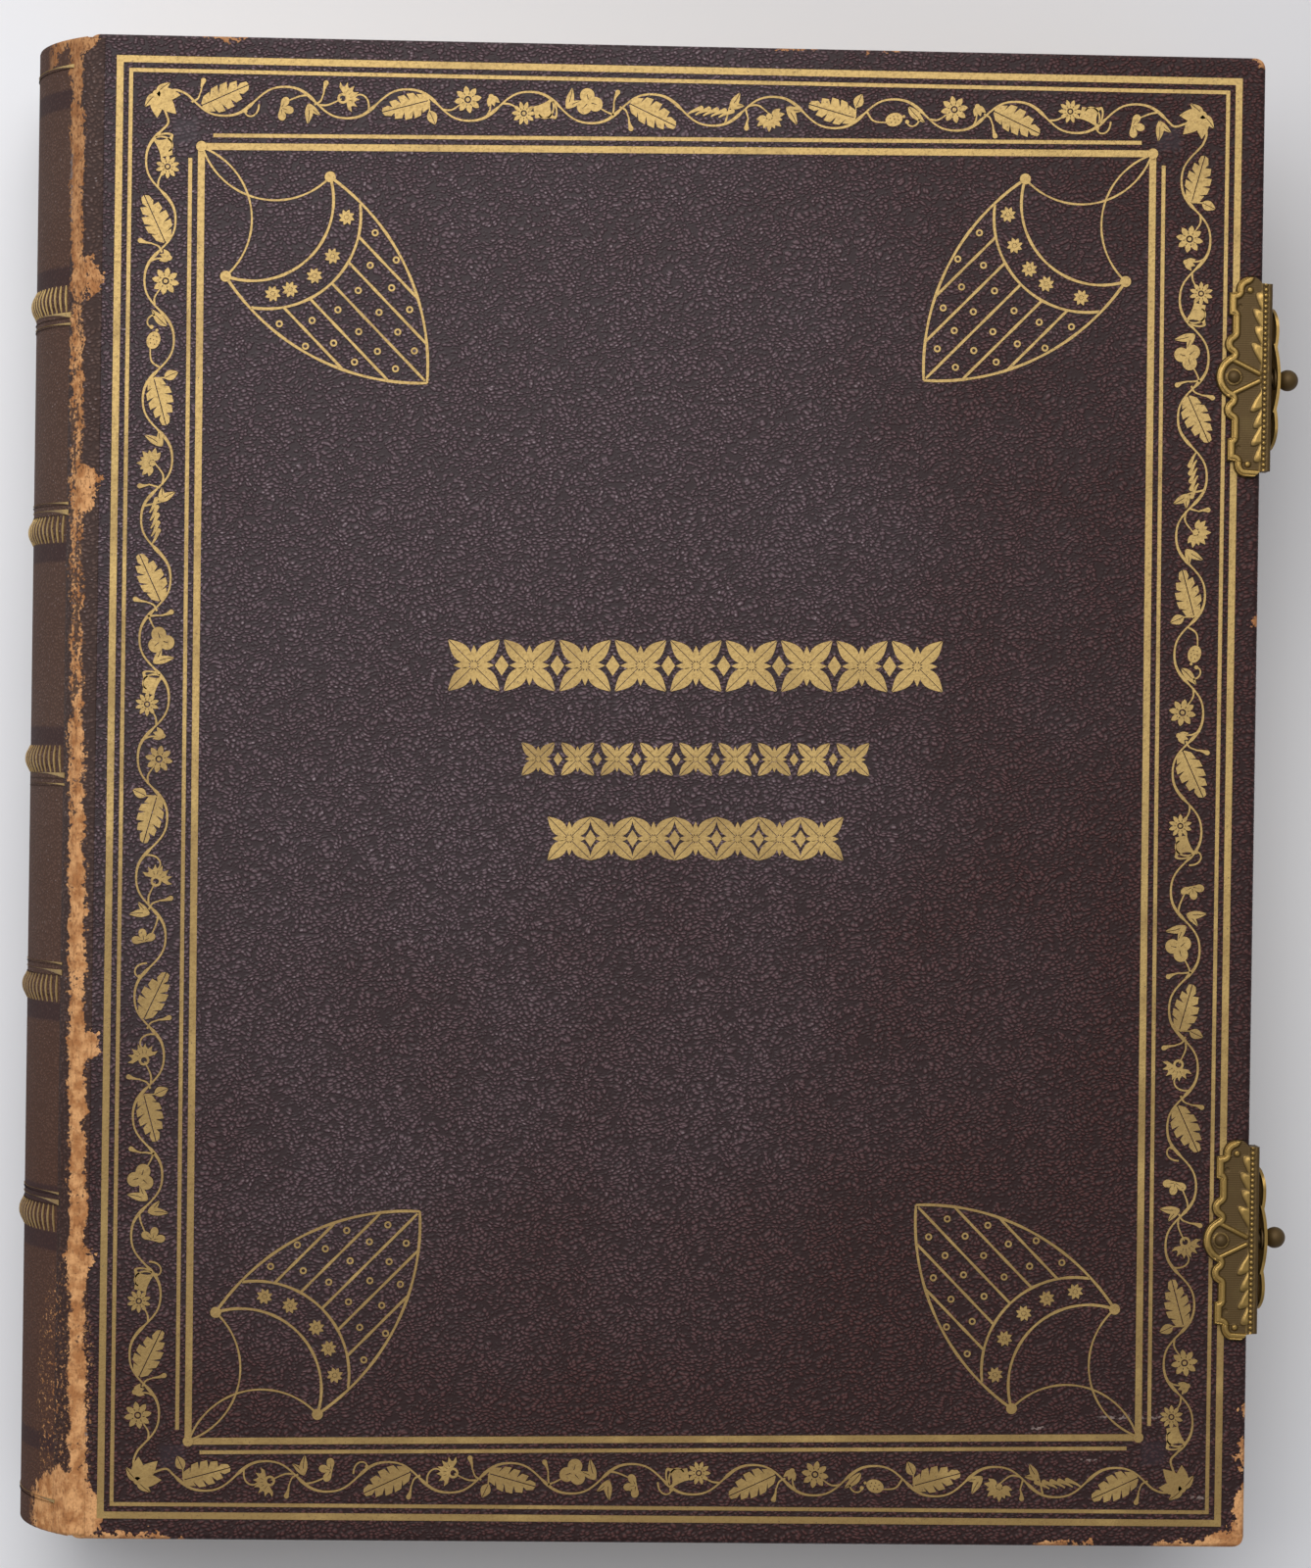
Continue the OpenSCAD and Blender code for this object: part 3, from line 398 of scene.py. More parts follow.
def leaf_edges(name):
    """The card leaves: cream faces and rubbed gilt edges."""
    paint = Paint(name)
    upward = abs(paint.node("SeparateXYZ", 2, paint.node("NewGeometry", "Normal")))
    face = paint.ramp(upward, 0.8, 0.95)
    streaks = paint.noise(2.2, 4.0, 0.6, paint.mapped(0, (0.15, 0.15, 2.5)))
    gilt = paint.mix(paint.ramp(streaks, 0.35, 0.7), (150, 118, 62), (206, 170, 102))
    card = paint.mix(paint.noise(40, 3.0), (228, 219, 197), (213, 201, 174))
    fibres = paint.noise(0.8, 3.0, 0.7)
    color = paint.mix(face, gilt, card)
    color = paint.mix(paint.ramp(fibres, 0.55, 0.8, 0.0, 0.25), color, (150, 126, 84))
    return paint.finish(color, paint.blend(face, 0.45, 0.85), paint.bump(fibres, 0.05, 0.5),
                        (1.0 - face) * 0.45)


def endpaper(name):
    """Cream paper, clouded, with a little foxing."""
    paint = Paint(name)
    clouds = paint.noise(60, 4.0, 0.6)
    color = paint.mix(clouds, (226, 216, 192), (210, 196, 166))
    foxing = paint.ramp(paint.noise(7, 4.0, 0.6), 0.66, 0.74, 0.0, 0.35)
    color = paint.mix(foxing, color, (170, 132, 84))
    fibres = paint.noise(0.6, 3.0, 0.7)
    color = paint.mix(paint.ramp(fibres, 0.5, 0.8, 0.0, 0.3), color, (196, 180, 148))
    return paint.finish(color, 0.82, paint.bump(fibres, 0.04, 0.6))


def pressed_board(name, light, dark):
    """Millboard or lining paper, fibrous and a little speckled."""
    paint = Paint(name)
    fibres = paint.noise(1.2, 4.0, 0.7, paint.mapped(20, (1, 0.4, 1)))
    return paint.finish(paint.mix(fibres, light, dark), 0.88, paint.bump(fibres, 0.08, 0.7))


def wound_silk(name):
    """Silk wound tightly over a cord that runs round the spine's arc."""
    paint = Paint(name)
    silk_pitch = 0.45
    angle = paint.math("ARCTAN2", paint.z - TOP_Z / 2, SPINE_AXIS_X - paint.x)
    turns = paint.math("SINE", angle * SPINE_R * (2 * math.pi / silk_pitch))
    # Painted shade: the grooves between the turns are darker and the crests lighter.
    wound = paint.ramp(turns, -1.0, 1.0)
    color = paint.mix(wound, (92, 36, 30), (150, 70, 54))
    color = paint.mix(paint.ramp(paint.noise(3, 3.0), 0.45, 0.7, 0.0, 0.5), color,
                      (164, 128, 92))
    return paint.finish(color, 0.5, paint.bump(wound, 0.12, 0.9), Sheen_Weight=0.3)


def studio_floor(name):
    """A pale floor, with painted shade making it a little darker towards its far corner."""
    paint = Paint(name)
    color = paint.mix(paint.noise(180, 2.0), (222, 222, 224), (228, 228, 229))
    # Painted shade: the floor's colour darkens towards its far corner.
    painted_shade_corner = paint.ramp(paint.x * 0.5 + paint.y, 50, 200)
    color = paint.mix(painted_shade_corner, color, (202, 201, 202))
    return paint.finish(color, 0.8, paint.bump(paint.noise(1.5, 2.0), 0.02, 0.3))


# ---- flat figures: outlines as complex numbers, in millimetres ----

def polar(length, degrees):
    return cmath.rect(length, math.radians(degrees))


def oval(middle, wide, high, degrees):
    """Points round an ellipse at some angles."""
    return [middle + complex(wide * math.cos(turn), high * math.sin(turn))
            for turn in map(math.radians, degrees)]


def arc(middle, radius, start, end, steps):
    """Points on an arc, with angles in degrees."""
    return [middle + polar(radius, start + (end - start) * i / steps) for i in range(steps + 1)]


def ring(middle, radius, steps=20):
    return arc(middle, radius, 0, 360, steps)[:-1]


def moved(figures, shift=0j, turn=0.0, flip=False):
    """Copies figures, mirrored in the x axis if flipped, then turned and shifted."""
    spin = polar(1, turn)
    return [[[(p.conjugate() if flip else p) * spin + shift for p in loop] for loop in figure]
            for figure in figures]


def whorl(figures, turns, out=0.0):
    """Copies of some figures round 0, each turned to point away from it."""
    return [figure for turn in turns for figure in moved(figures, polar(out, turn), turn)]


def curve_through(points):
    """A smooth line through the points."""
    steps = 8
    padded = [2 * points[0] - points[1], *points, 2 * points[-1] - points[-2]]
    line = []
    for a, b, c, d in zip(padded, padded[1:], padded[2:], padded[3:]):
        for i in range(steps):
            t = i / steps
            line.append(0.5 * (2 * b + (c - a) * t + (2 * a - 5 * b + 4 * c - d) * t * t
                               + (3 * b - a - 3 * c + d) * t ** 3))
    return line + [points[-1]]


def ribbon(line, width):
    """A strip along a line. width is a number, or a function of the share of the way."""
    left, right = [], []
    last = len(line) - 1
    for i, point in enumerate(line):
        ahead = line[min(i + 1, last)] - line[max(i - 1, 0)]
        side = ahead / abs(ahead) * 1j
        half = (width(i / last) if callable(width) else width) / 2
        left.append(point + side * half)
        right.append(point - side * half)
    return [left + right[::-1]]


def stalk(*points):
    """A tapering stalk through some points."""
    return [ribbon(curve_through(points), lambda s: 0.42 - 0.18 * s)]


def bowed(start, end, rise):
    """Points on the arc from start to end that rises to the left of the chord."""
    chord = abs(end - start)
    radius = (chord * chord / 4 + rise * rise) / (2 * rise)
    half = math.degrees(math.asin(min(1.0, chord / 2 / radius)))
    points = arc(complex(chord / 2, rise - radius), radius, 90 + half, 90 - half, 24)
    return [start + p * (end - start) / chord for p in points]


def petal(length, width):
    """A rounded petal from 0 along +x."""
    side = [complex(length * i / 7, width / 2 * math.sin(math.pi * (i / 7) ** 0.8))
            for i in range(8)]
    return [side + [p.conjugate() for p in side[-2:0:-1]]]


def toothed_leaf(length, width, teeth, bend):
    """A leaf from 0 along +x with teeth that point forward, in two halves beside a midrib."""
    slit = 0.1
    tip = 0.94

    def reach(share):
        share = min(1.0, max(0.0, share))
        return width / 2 * math.sin(math.pi * share ** 0.75) ** 0.8
    edge = []
    for i in range(teeth):
        root, point = i / teeth * tip, (i + 1.25) / teeth * tip
        back = root + 0.5 / teeth
        edge += [(root + 0.02, 0.4 * reach(root + 0.03)), (back, reach(back)),
                 (min(point, 0.97), 1.04 * reach(point - 0.08))]
    outline = [(0.03, slit), *[(a, max(h, slit + 0.05)) for a, h in edge], (1.0, slit)]
    return [[[complex(a * length, side * h + bend * a * a * length) for a, h in outline]]
            for side in (1, -1)]


def narrow_leaf(length, width, bend):
    """A slender curved leaf with a dark line along its middle."""
    slit = 0.07
    figures = []
    middle = [(i / 8, bend * (i / 8) ** 2 * length) for i in range(9)]
    for side in (1, -1):
        inner = [complex(s * length, side * slit + rise) for s, rise in middle]
        outer = [complex(s * length,
                         side * (slit + math.sin(math.pi * s ** 0.85) * width / 2) + rise)
                 for s, rise in middle]
        figures.append([outer + inner[-2:0:-1]])
    return figures


def daisy(radius, petals):
    """A flower with pointed petals and a ringed eye."""
    outline, slits = [], []
    for i in range(petals):
        middle = 360 * i / petals
        for across in (-0.5, -0.3, -0.12, 0.0, 0.12, 0.3):
            length = radius * (0.56 + 0.44 * (1 - abs(2 * across)) ** 0.7)
            outline.append(polar(length, middle + across * 360 / petals))
        slits.append([polar(radius * far, middle + 180 / petals + aside)
                      for far, aside in ((0.36, -4), (0.52, -3), (0.52, 3), (0.36, 4))])
    return [[outline, ring(0, radius * 0.27, 12), *slits], [ring(0, radius * 0.15, 10)]]


def trumpet(length, throat, mouth):
    """A bell flower seen from the side, from 0 along +x, with its dark mouth."""
    top = [complex(length * s, throat + (mouth - throat) * s ** 2.2) for s in (0, 0.3, 0.6, 0.85)]
    lip = oval(length, mouth * 0.4, mouth, range(90, -91, -20))
    mouth_hole = oval(length, mouth * 0.24, mouth * 0.72, range(0, 360, 30))
    return [[top + lip + [p.conjugate() for p in top[::-1]], mouth_hole]]


def pansy(radius):
    """Three round petals with dark lines from the middle."""
    petal_r = radius * 0.54
    centres = [polar(radius * 0.5, turn) for turn in (90, 212, 328)]
    outline = []
    for i in range(48):
        way = polar(1, i * 360 / 48)
        far = []
        for centre in centres:
            turned = centre / way
            if abs(turned.imag) < petal_r:
                far.append(turned.real + math.sqrt(petal_r ** 2 - turned.imag ** 2))
        outline.append(way * max([0.3 * radius, *far]))
    slits = []
    for centre in centres:
        way = centre / abs(centre)
        slits.append([way * (radius * 0.2 - 0.1j), way * (radius * 0.62 - 0.05j),
                      way * (radius * 0.62 + 0.05j), way * (radius * 0.2 + 0.1j)])
    return [[outline, *slits]]


def bell(size):
    """A small bud with three lobes, hanging along +x."""
    return [*whorl([petal(size, size * 0.5)], (-34, 0, 34)), [ring(0.1, size * 0.24, 10)]]


def shaggy(radius):
    """A ragged flower like an aster, seen from the side."""
    figures = []
    for i in range(9):
        turn = -100 + 25 * i
        length = radius * (1.0 if i % 2 else 0.86)
        figures += moved([petal(length * 0.8, radius * 0.36)],
                         polar(length * 0.22, turn), turn)
    return figures + [[ring(0, radius * 0.2, 10)]]


def fruit(radius):
    """A seed head with a small crown, along +x."""
    body = oval(radius * 1.15, -radius * 1.15, radius * 0.86, range(0, 360, 20))
    pits = [ring(complex(radius * x, radius * y), 0.13, 6)
            for x, y in ((0.7, 0.25), (0.7, -0.3), (1.2, 0.42), (1.2, 0), (1.2, -0.42),
                         (1.7, 0.25), (1.7, -0.25))]
    return [[body, *pits], [ring(radius * 2.5, radius * 0.2, 8)]]


def curl(size, turn):
    """A tendril that curls up into a dot, from 0 along +x."""
    line = [0j]
    for i in range(14):
        share = i / 14
        line.append(line[-1] + polar(size * (0.16 - 0.08 * share), turn * share ** 1.4))
    return [ribbon(line, lambda s: 0.36 - 0.08 * s), [ring(line[-1], 0.42, 10)]]


def trefoil(size):
    """A leaf of three round lobes with a dark vein in each, from 0 along +x."""
    middle = 0.5 * size
    outline, veins = [], []
    for turn in (-72, 0, 72):
        outline += [middle + polar(size * (0.3 + 0.7 * math.sin(math.pi * i / 12) ** 0.7),
                                   turn - 38 + 76 * i / 12) for i in range(13)]
        veins.append([middle + polar(1, turn) * p
                      for p in (0.1 * size - 0.08j, 0.62 * size, 0.1 * size + 0.08j)])
    return [[outline, *veins]]


def thistle(size):
    """A ragged head that opens out of a ringed cup, from 0 along +x."""
    middle = 0.35 * size
    points = [0.5 * size + 0.2j]
    for i in range(7):
        turn = -80 + 160 * i / 6
        points += [middle + polar(size * far * 0.62, turn + aside)
                   for aside, far in ((-9, 1.25), (0, 1.75), (9, 1.25))]
    hairs = [[middle + polar(size * far, turn + aside)
              for far, aside in ((0.42, -3), (0.75, 0), (0.42, 3))] for turn in (-40, -14, 14, 40)]
    cup = 0.3 * size
    return [[points, *hairs], [ring(cup, size * 0.36, 14), ring(cup, size * 0.2, 10)]]


def club(length):
    """A bud on its own short stalk, from 0 along +x."""
    line = [0j, 0.5 * length + 0.1j, length + 0.0j]
    return [ribbon(curve_through(line), lambda s: 0.3 + 0.75 * s ** 2.2), [ring(length, 0.5, 10)]]


def folded_leaves(length):
    """Two slender leaves that part from one stalk, from 0 along +x."""
    return (moved(narrow_leaf(length, 1.5, 0.22), turn=4)
            + moved(narrow_leaf(0.8 * length, 1.2, -0.3), turn=-14))


def sprig(fingers, length):
    """Blunt finger leaves in a row, leaning out of the stem along +x."""
    figures = []
    for i in range(fingers):
        root = complex(i * 1.55, 0.25 * i)
        line = curve_through([root, root + length * (0.25 + 0.25j),
                              root + length * (0.75 + 0.62j)])
        figures.append(ribbon(line, lambda s: 0.28 + 0.62 * s ** 1.5))
        figures.append([ring(line[-1], 0.46, 10)])
    return figures


# ---- from flat figures to thin closed solids ----

def new_object(name, data):
    thing = bpy.data.objects.new(name, data)
    bpy.context.scene.collection.objects.link(thing)
    return thing


class Mesh:
    """Vertices and faces in millimetres, gathered before they become one piece."""

    def __init__(self):
        self.verts = []
        self.faces = []

    def add(self, verts, faces):
        base = len(self.verts)
        self.verts += [tuple(v) for v in verts]
        self.faces += [tuple(base + i for i in face) for face in faces]

    def prism(self, loops, low, high, wrap=lambda *point: point):
        """A flat closed solid. loops[0] is its outline and the rest are holes. wrap bends
        a point x, y, z into place."""
        outlines = []
        for loop in loops:
            area = sum((a.conjugate() * b).imag for a, b in zip(loop, loop[1:] + loop[:1]))
            is_hole = bool(outlines)
            outlines.append(loop[::-1] if (area > 0) == is_hole else loop)
        points = sum(outlines, [])
        count = len(points)
        triangles = tessellate_polygon([[Vector((p.real, p.imag, 0)) for p in loop]
                                        for loop in outlines])
        faces = []
        for a, b, c in triangles:
            area = ((points[b] - points[a]).conjugate() * (points[c] - points[a])).imag
            if area < 0:
                b, c = c, b
            faces += [(a + count, b + count, c + count), (a, c, b)]
        start = 0
        for loop in outlines:
            size = len(loop)
            for i in range(size):
                a, b = start + i, start + (i + 1) % size
                faces.append((a, b, b + count, a + count))
            start += size
        self.add([wrap(p.real, p.imag, z) for z in (low, high) for p in points], faces)

    def tube(self, rings):
        """A closed solid through rings of points, all of one length."""
        count = len(rings[0])
        last = (len(rings) - 1) * count
        faces = []
        for start in range(0, last, count):
            for i in range(count):
                a, b = start + i, start + (i + 1) % count
                faces.append((a, b, b + count, a + count))
        faces += [tuple(range(count))[::-1], tuple(range(last, last + count))]
        self.add([point for around in rings for point in around], faces)

    def piece(self, name, body, slot, material, replaces=(), smooth=False):
        """Makes the Blender object, ties it to its body and hides the CAD nodes that it replaces.
        slot is not used.
        """
        mesh = bpy.data.meshes.new(name)
        mesh.from_pydata([(x * MM, y * MM, z * MM) for x, y, z in self.verts], [], self.faces)
        mesh.validate()
        mesh.update()
        for polygon in mesh.polygons:
            polygon.use_smooth = smooth
        thing = new_object(name, mesh)
        mesh.materials.append(material)
        if body:
            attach(thing, body)
        if replaces:
            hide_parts(*replaces)
        return thing


# The foil's underside and top, the rise from one layer to the next, and the small steps by
# which neighbours in a layer differ.
FOIL_LOW = TOP_Z - 0.03
FOIL_HIGH = TOP_Z + 0.05
LAYER = 0.02
STEP = 0.004
STEPS = 5


def foil(mesh, figures, layer, place=lambda p: p):
    """Presses figures onto the front cover. A higher layer lies over a lower one, and
    neighbours in a layer differ by a step, so that no two tops lie in one plane."""
    for n, figure in enumerate(figures):
        loops = [[place(p) for p in loop] for loop in figure]
        mesh.prism(loops, FOIL_LOW, FOIL_HIGH + LAYER * layer + STEP * (n % STEPS))


# ---- gilt tooling on the front cover ----

VINE_BEND = 12.1
VINE_SWING = 3.2
# The vine's waves end this far from each corner, where a bloom takes over.
VINE_CORNER = 6.2


def vine_bays():
    """What grows in each bend of the vine. Each is a list of layer, figures and how they are
    moved, drawn over a stem that hangs down to -VINE_SWING at x = 0 and rises to 0 at
    x = +-6."""
    small_leaf = [(1, narrow_leaf(3.0, 1.9, 0.05), 4.3 + 1.2j, 62),
                  (0, stalk(3.4 - 2.4j, 4.2 - 0.8j, 4.4 + 1.4j))]
    leaf = [(1, toothed_leaf(10.4, 5.2, 5, 0.1), -4.6 - 1.1j, 19),
            (1, club(2.4), -4.6 + 1.6j, 78),
            (0, stalk(-6.4 - 0.4j, -5.2 + 0.3j, -4.6 + 1.8j))]
    flower = [(2, daisy(2.75, 8), -0.2 + 1.2j, 10),
              (0, stalk(-5.2 - 0.9j, -3.4 - 0.9j, -1.4 + 0.4j)),
              (1, bell(2.2), 4.4 + 2.0j, -70), *small_leaf[1:]]
    horn = [(1, trumpet(3.8, 1.2, 2.1), 0.9 + 1.1j, -12),
            (2, daisy(2.4, 10), -1.2 + 1.3j),
            (0, stalk(-5.4 - 0.6j, -3.8 - 0.4j, -2.0 + 0.6j)),
            (1, curl(3.6, 210), 4.6 - 1.2j, 80)]
    viola = [(1, pansy(2.7), -0.4 + 1.2j, 15),
             (0, stalk(4.8 - 1.3j, 3.2 - 0.7j, 1.2 + 0.4j)),
             (1, folded_leaves(4.2), -4.9 - 0.2j, 58),
             (1, club(2.2), 4.6 + 1.2j, 70),
             (0, stalk(4.4 - 1.6j, 4.6 + 0.2j, 4.6 + 1.4j))]
    fingers = [(1, sprig(5, 3.1), -5.0 - 0.8j, -14),
               (1, folded_leaves(3.6), 3.4 + 0.6j, 40),
               (0, stalk(2.6 - 2.4j, 3.0 - 0.8j, 3.4 + 0.8j))]
    aster = [(1, shaggy(3.1), -0.8 + 0.9j, 65),
             (0, stalk(-5.0 - 1.1j, -3.0 - 1.2j, -0.8 + 0.4j)),
             (1, folded_leaves(4.0), 2.6 - 1.0j, 42),
             (1, club(2.0), -5.0 + 1.4j, 100), (0, stalk(-5.6 - 0.6j, -5.0 + 1.6j))]
    seed = [(1, fruit(1.55), -1.8 + 1.6j, -18),
            (0, stalk(-5.6 - 0.4j, -4.2 + 1.4j, -1.4 + 1.7j)),
            (1, narrow_leaf(4.4, 1.6, -0.2), 2.8 - 1.6j, 55),
            (1, curl(3.0, 200), 4.9 - 0.6j, 80)]
    clover = [(1, trefoil(2.5), -2.0 + 1.0j, 12),
              (0, stalk(4.6 - 1.5j, 2.6 - 1.1j, -0.4 + 0.2j)),
              (1, folded_leaves(4.0), 4.6 + 0.2j, 75),
              (1, curl(2.8, 190), -5.2 + 0.6j, 95)]
    head = [(2, thistle(3.0), -1.6 + 0.6j, 22),
            (0, stalk(-5.4 - 0.5j, -3.6 - 0.4j, -1.0 + 0.8j)),
            (1, curl(3.4, 200), 4.4 - 1.4j, 85), *leaf[1:]]
    turned_leaf = [(1, toothed_leaf(10.0, 5.0, 5, -0.08), 4.6 - 1.0j, 160, True),
                   *small_leaf]
    return [leaf, clover, head, turned_leaf, flower, horn, viola, leaf, fingers, aster,
            turned_leaf, seed, flower, leaf, horn, clover, viola, turned_leaf, head]


def vine_side(mesh, length, place, first):
    """The vine along one side of the border, drawn along x about 0."""
    bays = vine_bays()
    count = 2 * round(length / VINE_BEND / 2)
    step = length / count
    phase = math.pi / step

    def swing(x):
        turn = phase * (x + length / 2)
        return VINE_SWING * (math.sin(turn) + 0.06 * math.sin(3 * turn))
    line = [complex(x, -swing(x)) for x in np.linspace(-length / 2, length / 2, 14 * count + 1)]

    def stem_width(share):
        return 0.36 + 0.4 * (share * count % 1) ** 3
    foil(mesh, [ribbon(line, stem_width)], 0, place)
    for i in range(count):
        middle = (i + 0.5) * step - length / 2
        flip = i % 2 == 1
        for layer, figures, *way in bays[(first + i) % len(bays)]:
            figures = moved(moved(figures, *way), complex(middle, 0), flip=flip)
            foil(mesh, figures, layer + 1, place)


def corner_bloom():
    """The drooping bloom where the vine turns a corner, about 0, and the stem through it."""
    root = 1.5 + 1.5j
    petals = [moved([petal(length, width)], root, turn)
              for length, width, turn in ((4.8, 2.6, 182), (5.6, 2.9, 225), (4.8, 2.6, 268))]
    leaves = [moved(narrow_leaf(3.4, 1.5, bend), root, turn)
              for turn, bend in ((128, 0.2), (322, -0.2))]
    stem = curve_through([-VINE_CORNER + 0j, -4.6 - 1.3j, -2.4 - 0.7j, 0.5 + 0.4j, 1.9 - 2.2j,
                          1.3 - 4.6j, -VINE_CORNER * 1j])
    figures = sum(petals + leaves, [])
    return figures + [[ring(root, 0.8, 12)]], [ribbon(stem, lambda share: 0.42)]


def gilt_vine():
    """The roll of flowers and leaves between the frames."""
    mesh = Mesh()
    half_w = (FRAME_W - PANEL_SIDE_GAP - THICK_LINE) / 2
    half_h = (FRAME_H - PANEL_END_GAP - THICK_LINE) / 2
    sides = [(half_w, 1j * half_h, 0, 0), (half_h, half_w + 0j, -90, 3),
             (half_w, -1j * half_h, 180, 7), (half_h, -half_w + 0j, 90, 12)]
    for half, middle, turn, first in sides:
        spin = polar(1, turn)
        vine_side(mesh, 2 * (half - VINE_CORNER), lambda p: MID + middle + p * spin, first)
    bloom, stem = corner_bloom()
    for turn, right, top in ((0, 1, 1), (90, -1, 1), (180, -1, -1), (270, 1, -1)):
        corner = MID + complex(right * half_w, top * half_h)
        foil(mesh, moved(bloom, corner - complex(right, top) * 0.4, turn), 4)
        foil(mesh, moved(stem, corner, turn), 3)
    return mesh


# A shield's lines and places, in millimetres along its axis from the corner, and across it.
SHIELD_LINE = 0.52
SHIELD_TURN = 45.5
SHIELD_TIP = 65.0
EAR = 22 + 14.4j
SHIELD_TOP_RISE = 8.8
CHIEF_END = 30 + 15j
CHIEF_RISE = 7.5
# How far across each stripe lies, and where it starts and ends.
STRIPES = [(10.3, 34.4, 51.6), (5.3, 36.9, 59.4), (0.0, 37.5, 64.4), (-5.3, 36.9, 59.4),
           (-10.3, 34.4, 51.6)]
# The rings between the stripes, along and across.
RINGS = [36.2 + 13.2j, 43.0 + 12.5j, 40.2 + 8j, 46.4 + 8j, 52.0 + 7.6j,
         42.2 + 2.8j, 48.2 + 2.8j, 53.6 + 2.8j, 58.6 + 2.6j]
# The stars were pressed one by one: for each corner, how far across each lies.
STARS = {(-1, -1): (9.8, 4.9, -1.9, -6.6, -11.3), (1, -1): (11.1, 6.0, 0.6, -5.7, -12.1),
         (1, 1): (-11.8, -6.4, -1.0, 3.5, 10.4), (-1, 1): (-11.2, -3.8, 1.5, 6.9, 10.0)}


def shield_figures():
    """A striped shield hung from the panel's corner by two crossed loops. The corner is 0
    and the point lies along +x. Gives (layer, figures)."""
    def uneven(share):
        return SHIELD_LINE * (1 + 0.12 * math.sin(23 * share) + 0.08 * math.sin(61 * share))
    outline, inside, dots = [], [], []
    for flip in (False, True):
        sides = [ribbon(bowed(EAR, SHIELD_TIP + 0j, 6), uneven),
                 ribbon(bowed(EAR, 0.3 + 0j, 7.4), lambda share: 0.72 * uneven(share))]
        outline += moved(sides, flip=flip)
        rings = [[ring(place, 0.72, 14), ring(place, 0.36, 10)] for place in RINGS]
        dots += moved(rings, flip=flip) + moved([[ring(EAR, 1.1)]], flip=flip)
    outline.append(ribbon(bowed(EAR, EAR.conjugate(), SHIELD_TOP_RISE), uneven))
    outline.append(ribbon(bowed(CHIEF_END, CHIEF_END.conjugate(), CHIEF_RISE), uneven))
    for across, start, end in STRIPES:
        line = [complex(start + (end - start) * i / 12, across) for i in range(13)]
        inside.append(ribbon(line, uneven))
    return [(0, outline), (1, inside), (2, dots)]


def pinwheel(radius):
    """A small star whose rays all lean one way."""
    ray = moved([petal(radius * 0.8, radius * 0.46)], radius * 0.25, 25)
    return whorl(ray, range(0, 360, 45)) + [[ring(0, radius * 0.26, 8)]]


def gilt_shields():
    """A shield in each corner of the panel, with its stars along the middle of its chief."""
    mesh = Mesh()
    inner = complex(PANEL_W - THICK_LINE, PANEL_H - THICK_LINE) / 2
    rise = (SHIELD_TOP_RISE + CHIEF_RISE) / 2
    star_y = (EAR.imag + CHIEF_END.imag) / 2
    star_r = (star_y ** 2 + rise ** 2) / (2 * rise)
    star_x = (EAR.real + CHIEF_END.real) / 2 + rise - star_r
    spin = polar(1, SHIELD_TURN)
    for (right, top), stars in STARS.items():
        corner = MID + on_panel(complex(right * inner.real, top * inner.imag))

        def place(p):
            p = p * spin
            return corner - complex(right * p.real, top * p.imag)
        for layer, figures in shield_figures():
            foil(mesh, figures, layer, place)
        for across in stars:
            spot = complex(star_x + math.sqrt(star_r ** 2 - across ** 2), across)
            foil(mesh, moved(pinwheel(1.6), spot), 3, place)
        foil(mesh, [[ring(0, 1.05)]], 3, place)
    return mesh


# The rows of flowers in the middle: how far up each lies, how high and how many its flowers
# are, and how wide it is. Their middle lies a little to the right of the panel's.
ROWS = [(25.9, 10.6, 9, 100), (7.2, 6.8, 9, 71), (-8.7, 9.0, 7, 59)]
ROWS_X = 4.7


def fleuron(height):
    """A four-leaved flower with a dot in its eye."""
    eye = 0.06 * height
    return (whorl(narrow_leaf(height * 0.62, height * 0.3, 0.0), (45, 135, 225, 315), eye)
            + whorl([petal(height * 0.32, height * 0.12)], (0, 90, 180, 270), eye)
            + [[ring(0, height * 0.07, 12)]])


def gilt_rows():
    """Three rows of flowers and lozenges in the middle of the panel."""
    mesh = Mesh()
    for up, height, count, width in ROWS:
        pitch = width / count
        for i in range(count):
            spot = complex(ROWS_X + (i + 0.5) * pitch - width / 2, up)
            place = lambda p: MID + (p + spot) * (1 + 1j * END_TILT)
            foil(mesh, fleuron(height), 0, place)
            if i + 1 < count:
                half = height * 0.13
                lozenge = [half + 0j, half * 1.5j, -half + 0j, -half * 1.5j]
                foil(mesh, moved([[lozenge]], pitch / 2), 0, place)
    return mesh


# ---- the spine ----

# The raised bands, counted from the top, and the blind lines pressed beside them.
FIRST_BAND = 52
BAND_PITCH = 46
BAND_HALF = 2.5
BLIND_GAP = 4.6


def band_places():
    """How far up the middle of each raised band lies."""
    return [spine_high.y - FIRST_BAND - BAND_PITCH * i for i in range(5)]


def blind_line_places():
    bands = band_places()
    beside = [bands[i] + side * BLIND_GAP
              for i, side in ((0, 1), (1, -1), (2, 1), (3, -1), (4, 1), (4, -1))]
    return [*beside, spine_high.y - 12, spine_low.y + 18]


def spine_point(along, up, out):
    """A point on the spine: up along its length, and along round its arc from the middle."""
    angle = along / SPINE_R
    return (SPINE_AXIS_X - (SPINE_R + out) * math.cos(angle), up,
            TOP_Z / 2 + (SPINE_R + out) * math.sin(angle))


def band_height(along, offset):
    """How far a raised band stands out, across its width and as it dies away."""
    fade = max(0.0, 1 - (abs(along) / (SPINE_HALF - 3.2)) ** 2)
    across = max(0.0, 1 - (offset / BAND_HALF) ** 2)
    return BAND_RISE * fade * across


